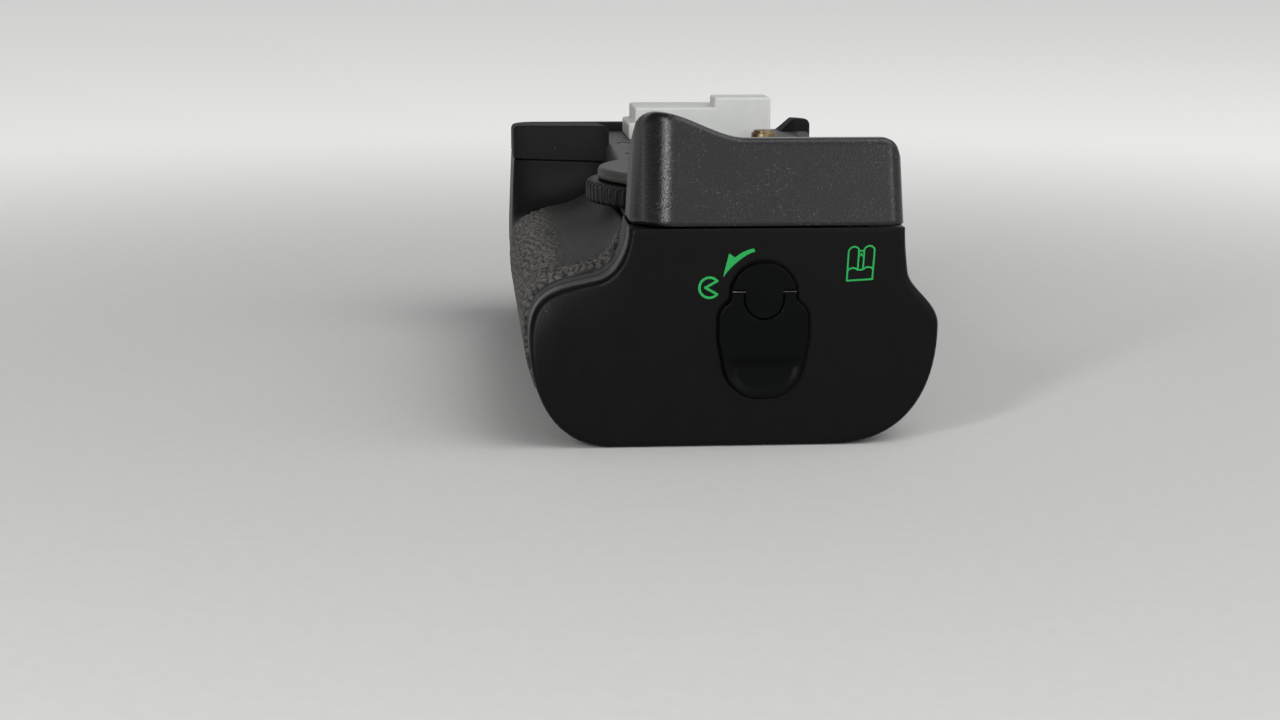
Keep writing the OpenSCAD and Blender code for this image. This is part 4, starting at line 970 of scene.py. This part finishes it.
def turn_arrow(y, z):
    """Curved arrow round the latch: two curves from its round tail to a barb and a long point."""
    tail_out, tail_in = np.array([0.82, 35.82]), np.array([1.05, 35.34])
    nook, barb, tip = np.array([-2.5, 34.2]), np.array([-3.55, 34.95]), np.array([-4.55, 30.85])
    t = np.linspace(0, 1, 12)[:, None]
    outer = cubic([tail_out, np.array([-0.4, 35.58]), np.array([-1.6, 35.02]), nook], t)
    inner = cubic([tip, np.array([-3.6, 32.3]), np.array([-1.2, 34.7]), tail_in], t)
    return loop_distance(np.concatenate([outer, [barb], inner]), y, z) - 0.04


def open_ring(y, z):
    """Open lock: a ring with a wedge left out, whose two edges run to a point left of the middle."""
    across, up = y + 7.0, z - 28.9
    radius, width, mouth, point = 1.8, 0.44, math.radians(41), -0.75
    angle = np.arctan2(up, across)
    ring = np.maximum(np.abs(np.hypot(across, up) - radius) - width / 2, (mouth - np.abs(angle)) * radius)
    end = (radius * math.cos(mouth), radius * math.sin(mouth))
    line = stroke(across, np.abs(up), (point, 0), end, width)
    return np.minimum(ring, line)


def cell_sign(y, z):
    """Battery sign: a tray with two arched tops, a wave across it and a narrow cell in the middle."""
    middle, foot_z, lean, width = 19.8, 30.05, 0.055, 0.3
    across, up = np.abs(y - middle - lean * (z - foot_z)), z - foot_z - lean * (y - middle)

    def arc(centre_across, centre_up, r, start_up):
        """Upper part of a ring: a ring cut off below a height."""
        ring = np.abs(np.hypot(across - centre_across, up - centre_up) - r) - width / 2
        return np.maximum(ring, start_up - up)

    lines = [((2.28, 0), (2.32, 5.1), width), ((0, 0), (2.28, 0), width), ((0.47, 1.85), (0.47, 5.25), width),
             ((0, 1.8), (0.47, 1.85), width), ((0, 5.2), (0.47, 5.2), 0.26), ((0, 4.75), (0.16, 4.3), 0.2)]
    strokes = [stroke(across, up, *line) for line in lines]
    return np.minimum.reduce(strokes + [arc(1.37, 5.05, 0.95, 5.0), arc(1.38, 1.1, 1.12, 1.72)])


def signs():
    """The three green marks beside the latch."""
    sign("turn_arrow_sign", turn_arrow, (-6, 3.5, 29.5, 37.5))
    sign("open_lock_sign", open_ring, (-10, -4.5, 26.5, 31.8))
    sign("battery_sign", cell_sign, (17, 23.4, 29, 37))


# Tall rim

face_step, rim_lean, crest_w = 0.3, 2.6, 3.0
hump_r, saddle_w, crest_r, hump_rise = 3.0, 18.0, 3.5, 4.5
cheek_r, back_r = 7, 2.6
rim_z = hump_z - hump_rise


def rim_outline(x, y):
    """Plan of the tall rim: end face, cheek and back, with round corners, cut off at its foot on the seat."""
    face = x - near_x + face_step
    cheek, back = meet(face, past_front(x, y), cheek_r), meet(face, y - back_y, back_r)
    return np.maximum.reduce([cheek, back, rim_x - x])


def rim_crest(y):
    """Height of the crest: hump on the lens side, smooth fall to a flat crest, round back corner."""
    first, last = -cheek_y + hump_r, back_y - crest_r
    fall = mix(hump_z, rim_z, smooth((y - first) / saddle_w))
    front_drop = roll_off(hump_r - (first - y), hump_r) * (y < first)
    back_drop = roll_off(crest_r - (y - last), crest_r) * (y > last)
    return fall - front_drop - back_drop


def end_rim():
    """Tall rim: crest height times a hollow fall to the seat; its end face leans back, its sides draw in.

    A side's draw-in is a straight line in height. On the lens side it is larger near the end face, and on
    the back it is only there.
    """
    crest_x = near_x - face_step - crest_w
    hollow, edge, far_edge = 1.5, 0.9, 0.6
    near_l, near_run, cheek_run = 9, 4.5, 12
    lens_foot, lens_top, near_foot, near_top, back_top = 0.5, 1.8, 2.1, 2.5, 0.9
    wall_rows = (0.04, 0.12, 0.5, 0.88, 0.96)

    def along(x, y):
        crest = crest_x - roll_off(y + cheek_y, cheek_r) - roll_off(back_y - y, back_r)
        return np.clip((crest - x) / (crest - rim_x), 0, 1)

    def height(x, y):
        fall = (1 - along(x, y)) ** hollow
        face = x - near_x + face_step
        inside = -np.maximum(meet(face, front_edge(x) - y, cheek_r), meet(face, y - back_y, back_r))
        return seat_z + (rim_crest(y) - seat_z) * fall - roll_off(inside, edge) * mix(far_edge, 1, fall)

    window = (rim_x - 1, near_x + 1, -cheek_y - 1, back_y + 1)
    points, faces = relief(rim_outline, height, flat(upper_z), window, 0.31, foot=0.3, rows=wall_rows)
    x, y, z = points.T
    rise = (z - upper_z) / (hump_z - upper_z)
    near_end = smooth((x - near_x + near_l) / near_run)
    lens = mix(mix(lens_foot, lens_top, rise), mix(near_foot, near_top, rise), near_end)
    lens_in = y * lens * smooth((x - cheek_x0) / cheek_run) / cheek_y
    back_in = y * back_top * rise * near_end / back_y
    lean = rim_lean * rise * (1 - along(x, y))
    leaning = np.stack([x - lean, y - np.where(y < 0, lens_in, back_in), z], -1)
    piece("rim_shell", (leaning, faces), "housing", "cover_black",
          finishes["rim_black"], ["end_rim"], face_sharp)


# Camera seat and low rim

lip_rise = 2.0
lip_z = seat_z + lip_rise
lug_l, lug_w, lug_rise = 8.0, 6.0, 0.9
lip_w, lip_end, lip_slope, block_in, block_r, back_fall = 5.0, 10.0, 2.2, 16.9, 1.2, 2.4
brow_r, brow_in, brow_fill = wheel_r - 2.4, 3, 2.0
collar_r, screw_hole_r, screw_ring = 3.9, 2.55, wheel_r + 3.6
ring_angles = [math.radians(a) for a in (146, 205)]
screw_places = [(screw_ring * math.cos(a), screw_ring * math.sin(a)) for a in ring_angles]
screw_places += [(-far_x + 40, 12.0), (-far_x + 36, -12.0)]


def seat_plan(x, y):
    """Plan of the upper cover: the body's edges with round far corners."""
    far = -far_x - x
    return np.maximum(meet(far, past_front(x, y), end_r), meet(far, y - rear_edge(x), end_r))


def seat_outline(x, y):
    """Plan of the camera seat: the cover's plan with the brow over the wheel, less screw and plug holes."""
    rim_gap, plug_lap, plug_r = 0.15, 0.3, 0.5
    brow = np.maximum(np.hypot(x, y) - brow_r, y + waist_y - brow_in)
    holes = [np.hypot(x - px, y - py) - screw_hole_r for px, py in screw_places]
    holes.append(np.hypot(x, y) - collar_r)
    plug, plug_half = centre("contact_block"), half_size("contact_block") - plug_lap
    holes.append(meet(np.abs(x - plug[0]) - plug_half[0], np.abs(y - plug[1]) - plug_half[1], plug_r))
    plan = blend_join(seat_plan(x, y), brow, brow_fill)
    return np.maximum.reduce([plan, x - rim_x + rim_gap] + [-h for h in holes])


def lip_outline(x, y):
    """Plan of the low rim: the block on the lens side, a strip along the control end and a lug at the back.

    It stands a hair outside the seat's plan, so that its wall hides the seat's.
    """
    hair = 0.03
    block = meet(x + block_x0, y + block_in, block_r)
    strip = np.maximum(x + far_x - lip_w, y - lip_end)
    lug = np.maximum(x + far_x - lug_l, rear_y - lug_w - lip_slope - y)
    return np.maximum(seat_plan(x, y) - hair, np.minimum.reduce([block, strip, lug]))


def seat_shell():
    """Camera seat: flat, with a slope along the back, thin where the wheel turns below it."""
    edge, fall_run, wheel_gap = 0.7, 0.9, 0.7

    def height(x, y):
        fall = back_fall * np.clip((y - back_y) / (block_rear - back_y), 0, 1.2)
        return seat_z - fall * smooth((x + far_x - lug_l) / fall_run) - roll_off(-seat_outline(x, y), edge)

    def base(x, y):
        return np.where(np.hypot(x, y) < wheel_r + wheel_gap, plate_z, upper_z)

    window = (-far_x - 1, rim_x + 1, -front_y - 1, rear_y + 1)
    piece("seat_shell", relief(seat_outline, height, base, window, 0.5, foot=0.25), "housing", "cover_black",
          finishes["seat_grey"], ["top_cover"], face_sharp)


def low_rim_shell():
    """Low rim: its top rises in a line from the strip to the block's near side; the lug's side slopes."""
    edge, full_edge, lift = 1.0, 2, 0.02

    def height(x, y):
        rise = np.clip((x + far_x - lip_w) / (far_x - lip_w - block_x0), 0, 1)
        ramp = seat_z + (y - rear_y + lug_w + lip_slope) * lip_rise / lip_slope
        top = np.where(y > lip_end, np.minimum(lip_z + lug_rise, ramp), mix(lip_z, crown_z, rise))
        return top - roll_off(-lip_outline(x, y), edge) * np.clip((top - seat_z) / full_edge, 0, 1)

    window = (-far_x - 1, -block_x0 + 2, -front_y - 1, rear_y + 1)
    piece("low_rim_shell", relief(lip_outline, height, flat(upper_z + lift), window, 0.4), "housing",
          "cover_black", finishes["block_black"], ["top_cover"], face_sharp)


# Grip rubber

def graded(length, edge, cell):
    """Places from 0 to a length: close together over the rounded edge at both ends, evenly spaced between."""
    rim = edge * (1 - np.cos(np.linspace(0, np.pi / 2, 6)))
    middle = np.linspace(edge, length - edge, int((length - 2 * edge) / cell))
    return np.concatenate([rim[:-1], middle, length - rim[-2::-1]])


def rubber_pad(name, node, thickness, cell, relief_mm, dish):
    """Glued rubber: a stretch of the body's outline at each x, shorter at the ends to round the corners.

    It is grown outwards by a thickness that rolls down at the border, less the creases of its leather grain.
    The grain fades within the dish, a length from the rubber's upper edge.
    """
    edge, edge_drop, outline_steps = 0.5, 1.6, 120
    dish_run, dish_end, dish_end_run, dish_share, dish_tone = 6, 5, 9, 0.85, 0.12
    grain_mm, grain_seed = 1.3, 5
    x0, x1 = low(node)[0], high(node)[0]
    xs = x0 + graded(x1 - x0, edge, cell)
    curves = pads[node][0](xs, outline_steps)
    length = run_length(curves)
    start, stop = pad_span(node, xs)
    cut = roll_off(np.minimum(xs - x0, x1 - xs), pad_corner)[:, None]
    share = graded(np.mean(stop - start), edge, cell) / np.mean(stop - start)
    places = mix(start + cut, stop - cut, share[None, :])
    curves = np.stack([np.stack([np.interp(s, l, c[:, 0]), np.interp(s, l, c[:, 1])], -1)
                       for s, l, c in zip(places, length, curves)])
    plain = smooth((dish - (places - start)) / dish_run + 0.5) * dish_share
    plain = plain * smooth((x1 - dish_end - xs) / dish_end_run)[:, None]
    grain = leather(np.broadcast_to(xs[:, None], places.shape), places, grain_mm, grain_seed)
    border = pad_border(node, xs, places)
    grow = thickness - roll_off(border, edge) * edge_drop - relief_mm * (1 - plain) * (1 - grain)
    piece(name, sheet_of(at_stations(xs, inset(curves, -grow))), "housing", "grip_rubber",
          # The grain attribute sets the rubber's painted pad highlight and crease shade; in the dish it is
          # held near dish_tone, low and even, so the dish stays dark
          finishes["grip_rubber"], [node], attributes={"grain": mix(grain, dish_tone, plain).ravel()})


def grip_rubbers():
    """Rubber on the lens side and a thumb rest on the back, which has no dish."""
    rubber_pad("grip_rubber_pad", "front_grip_rubber", thickness=0.7, cell=0.27, relief_mm=0.52, dish=14.5)
    rubber_pad("thumb_rubber_pad", "thumb_rubber", thickness=0.5, cell=0.36, relief_mm=0.2, dish=-9.0)


# Thumb wheel, controls and cells

# Radius of the innermost ring of a turned face, whose middle a fan closes
axis_r = 0.01


def thumb_wheel():
    """Thumb wheel: a ribbed drum round the camera screw."""
    drum = ribbed_drum(wheel_r, (wheel_z0, wheel_z1), edge=1.0, hub=3.7, ribs=72, per_rib=12,
                       depth=0.8, power=3, place=np.zeros(3), axis="z")
    piece("thumb_wheel", drum, "screw_wheel", "control_black", finishes["wheel_grey"], ["attachment_wheel"])


def control_dial():
    """Dial: a ribbed drum on its axle."""
    half = half_size("control_dial")
    drum = ribbed_drum(half[0], (-half[1], half[1]), edge=0.7, hub=1.6, ribs=30, per_rib=14,
                       depth=0.6, power=2, place=centre("control_dial"), axis="y")
    piece("dial_drum", drum, "dial", "control_black", finishes["control_black"], ["control_dial"])


def rear_buttons():
    """Two rear buttons: a wall, a round edge and a slightly domed top, turned round y."""
    r, edge, dome = 3.5, 0.5, 0.25
    a = np.linspace(0, np.pi / 2, 6)
    radii = np.linspace(r - edge, axis_r, 8)
    for node, body in (("exposure_lock_button", "lock_key"), ("focus_point_button", "focus_key")):
        foot, top = low(node)[1], high(node)[1]
        rim = np.stack([r - edge + edge * np.cos(a), top - dome - edge + edge * np.sin(a)], -1)
        face = np.stack([radii, top - dome + dome * (1 - (radii / r) ** 2)], -1)
        rings = turned(np.concatenate([[[r, foot]], rim, face]), 64, centre(node) * (1, 0, 1), "y")
        piece(node + "_cap", rings_of(rings), body, "control_black", finishes["control_black"], [node])


def release_button():
    """Release button: a stem, a wall, a round edge and a dished top, turned round x."""
    node = "release_button"
    top, back, r = low(node)[0], high(node)[0], half_size(node)[1]
    stem_r, wall_l, edge, dish = 2, 6, 0.8, 0.5
    a = np.linspace(0, np.pi / 2, 7)
    radii = np.linspace(r - edge, axis_r, 10)
    stem = [[stem_r, back], [stem_r, top + wall_l], [r, top + wall_l]]
    rim = np.stack([r - edge + edge * np.cos(a), top + edge - edge * np.sin(a)], -1)
    face = np.stack([radii, top + dish * (1 - (radii / r) ** 2)], -1)
    rings = turned(np.concatenate([stem, rim, face]), 72, centre(node) * (0, 1, 1), "x")
    piece("release_button_cap", rings_of(rings), "release", "control_black",
          finishes["control_black"], [node])


def plus_at_low_end(node):
    """Whether a cell's plus nub, its end with the smaller face, is at its lower x."""
    vertices = frame["nodes"][node].data.vertices
    points = np.empty(3 * len(vertices), np.float32)
    vertices.foreach_get("co", points)
    x, y, z = points.reshape(-1, 3).T / MM
    away = np.hypot(y - centre(node)[1], z - centre(node)[2])
    low_r, high_r = (away[np.abs(x - end) < 0.05].max() for end in (low(node)[0], high(node)[0]))
    return low_r < high_r


def cells():
    """Eight battery cells: can with rolled edges, a plus nub at one end, the sleeve's share on its points."""
    count, nub_r = 48, 2.7
    for k in range(1, 9):
        node = f"cell_{k}"
        r, l = half_size(node)[1], 2 * half_size(node)[0]
        profile = np.array([
            [axis_r, 0], [r - 0.9, 0], [r - 0.9, 0.35], [r - 0.3, 0.1], [r, 0.6], [r, l * 0.3], [r, l * 0.6],
            [r, l - 1.7], [r - 0.3, l - 1.2], [r - 1.2, l - 1.0], [nub_r + 0.4, l - 1.1], [nub_r, l - 0.9],
            [nub_r, l - 0.2], [nub_r - 0.3, l], [axis_r, l]])
        share = profile[:, 1] / l
        bare = ((profile[:, 0] < r - 0.5) | (profile[:, 1] < 0.1)).astype(float)
        if plus_at_low_end(node):
            profile[:, 1] = l - profile[:, 1]
        profile[:, 1] += low(node)[0]
        surface = rings_of(turned(profile, count, centre(node) * (0, 1, 1), "x"))
        along = np.concatenate([np.repeat(share, count), share[[0, -1]]])
        bare = np.concatenate([np.repeat(bare, count), [1.0, 1.0]])
        piece(f"battery_{k}", surface, "magazine", "cell_wrap", finishes["cell_wrap"], [node],
              attributes={"along": along, "bare": bare})


def small_solids():
    """Solids that keep their shape: edges softened on those that show, and a finish on every other."""
    for node, width, slot in (("contact_cover", 0.5, "milky_cover"), ("contact_block", 0.3, "control_black"),
                              ("release_bezel", 0.35, "control_black"), ("locating_stud", 0.2, "brass"),
                              ("camera_screw", 0.15, "steel"), ("tripod_bush", 0.2, "steel"),
                              ("vertical_switch", 0.15, "control_black"),
                              ("switch_plate", 0.15, "control_black")):
        softened_copy(node, width, finishes[slot], slot)
    for node in frame["nodes"].values():
        if not node.hide_render:
            slot = node.data.materials[0].name.split(".")[0]
            slot = "dark_steel" if "screws" in node.name else slot
            node.data.materials[0] = finishes.get(slot, finishes["frame_black"])


# Stage and lamps, in metres and watts, and the camera, placed in millimetres

def frame_matrix(right, up, back, place):
    """Matrix of an object from its three axes and its place."""
    return Matrix(np.column_stack([right, up, back, place]).tolist() + [[0, 0, 0, 1]])


def lamp(name, place, energy, width, tall):
    """Soft rectangular lamp that faces the object."""
    light = bpy.data.lights.new(name, "AREA")
    light.energy = energy
    light.shape = "RECTANGLE"
    light.size, light.size_y = width, tall
    holder = bpy.data.objects.new(name, light)
    bpy.context.scene.collection.objects.link(holder)
    back = np.array(place) / np.linalg.norm(place)
    side = np.cross((0, 0, 1), back)
    side /= np.linalg.norm(side)
    holder.matrix_world = frame_matrix(side, np.cross(back, side), back, place)


def cloth_floor():
    """Pale floor that lightens with distance for camera, glossy and transmission rays."""
    size, glow_from, glow_run, glow_level = 6.0, 0.35, 0.5, 0.42
    mesh = bpy.data.meshes.new("floor")
    corners = [(-size, -size, 0), (size, -size, 0), (size, size, 0), (-size, size, 0)]
    mesh.from_pydata(corners, [], [(0, 1, 2, 3)])
    made = bpy.data.objects.new("floor", mesh)
    bpy.context.scene.collection.objects.link(made)
    cloth = Finish("pale_cloth", Specular_IOR_Level=0.1, Emission_Strength=1.0)
    cloud = cloth.place.noise(3, 3)
    cloth.feed("Base Color", cloud.shade((0.54, 0.535, 0.525), (0.58, 0.575, 0.565)))
    cloth.feed("Roughness", 0.9 + cloth.place.noise(2, 2) * 0.05)
    away = cloth.place.node("ShaderNodeVectorMath", {"operation": "LENGTH"}, {0: cloth.place}, out=1)
    rays = [cloth.place.node("ShaderNodeLightPath", {}, {}, out=f"Is {kind} Ray")
            for kind in ("Camera", "Glossy", "Transmission")]
    glow = (rays[0] + rays[1] + rays[2]) * away.above(glow_from, glow_run) * glow_level
    cloth.feed("Emission Color", glow.shade((0, 0, 0), (1, 0.995, 0.98)))
    mesh.materials.append(cloth.material)


def lamps():
    """A large soft lamp above, a tall narrow one at the lens side and a small one in front."""
    lamp("key", (0.35, 0.6, 1.05), energy=10.0, width=1.2, tall=1.2)
    lamp("side", (0.82, -0.57, 0.35), energy=6.0, width=0.08, tall=0.7)
    lamp("front", (0.88, 0.46, 0.2), energy=0.85, width=0.26, tall=0.3)


def surround():
    """Pale surround, darker overhead and on the lens side, and lightest towards the magazine end."""
    world = bpy.data.worlds.new("surround")
    bpy.context.scene.world = world
    world.use_nodes = True
    tree = world.node_tree
    way = Wire(tree, None).node("ShaderNodeTexCoord", {}, {}, out="Generated")
    edge, run = 0.6, 0.6
    overhead = way.axis(2).above(edge, run)
    lens_way = (0 - way.axis(1)).above(0.5, run)
    ahead = way.axis(0).above(edge, run)
    level = (1 - 0.65 * overhead) * (1 - 0.85 * lens_way) * (0.7 + 0.3 * ahead)
    colour = level.shade((0, 0, 0), (0.92, 0.93, 0.95))
    tree.links.new(colour.socket, tree.nodes["Background"].inputs["Color"])


def camera():
    """Camera at the photo's place: its position, aim and focal length in pixels of a 1280 wide picture."""
    place = np.array([452.9, -51.4, 90.9])
    yaw, pitch, roll = 0.0828, 0.1905, 0.0034
    focal_px, picture_w, sensor = 2227.6, 1280.0, 36.0
    aim = np.array([-math.cos(yaw) * math.cos(pitch), math.sin(yaw) * math.cos(pitch), -math.sin(pitch)])
    right = np.cross(aim, (0, 0, 1))
    right /= np.linalg.norm(right)
    up = np.cross(right, aim)
    right, up = (math.cos(roll) * right + math.sin(roll) * up, math.cos(roll) * up - math.sin(roll) * right)
    data = bpy.data.cameras.new("camera")
    data.sensor_width = sensor
    data.lens = focal_px * sensor / picture_w
    data.clip_start, data.clip_end = 0.01, 50
    holder = bpy.data.objects.new("camera", data)
    bpy.context.scene.collection.objects.link(holder)
    holder.matrix_world = frame_matrix(right, up, -aim, place * MM)
    bpy.context.scene.camera = holder


front_shell()
rear_shell()
end_cup()
magazine_cap_shell()
latch_plate()
latch_lever()
hinge_wire()
signs()
end_rim()
seat_shell()
low_rim_shell()
grip_rubbers()
thumb_wheel()
control_dial()
rear_buttons()
release_button()
cells()
small_solids()
cloth_floor()
lamps()
surround()
camera()

bpy.context.scene.view_settings.view_transform = "Standard"
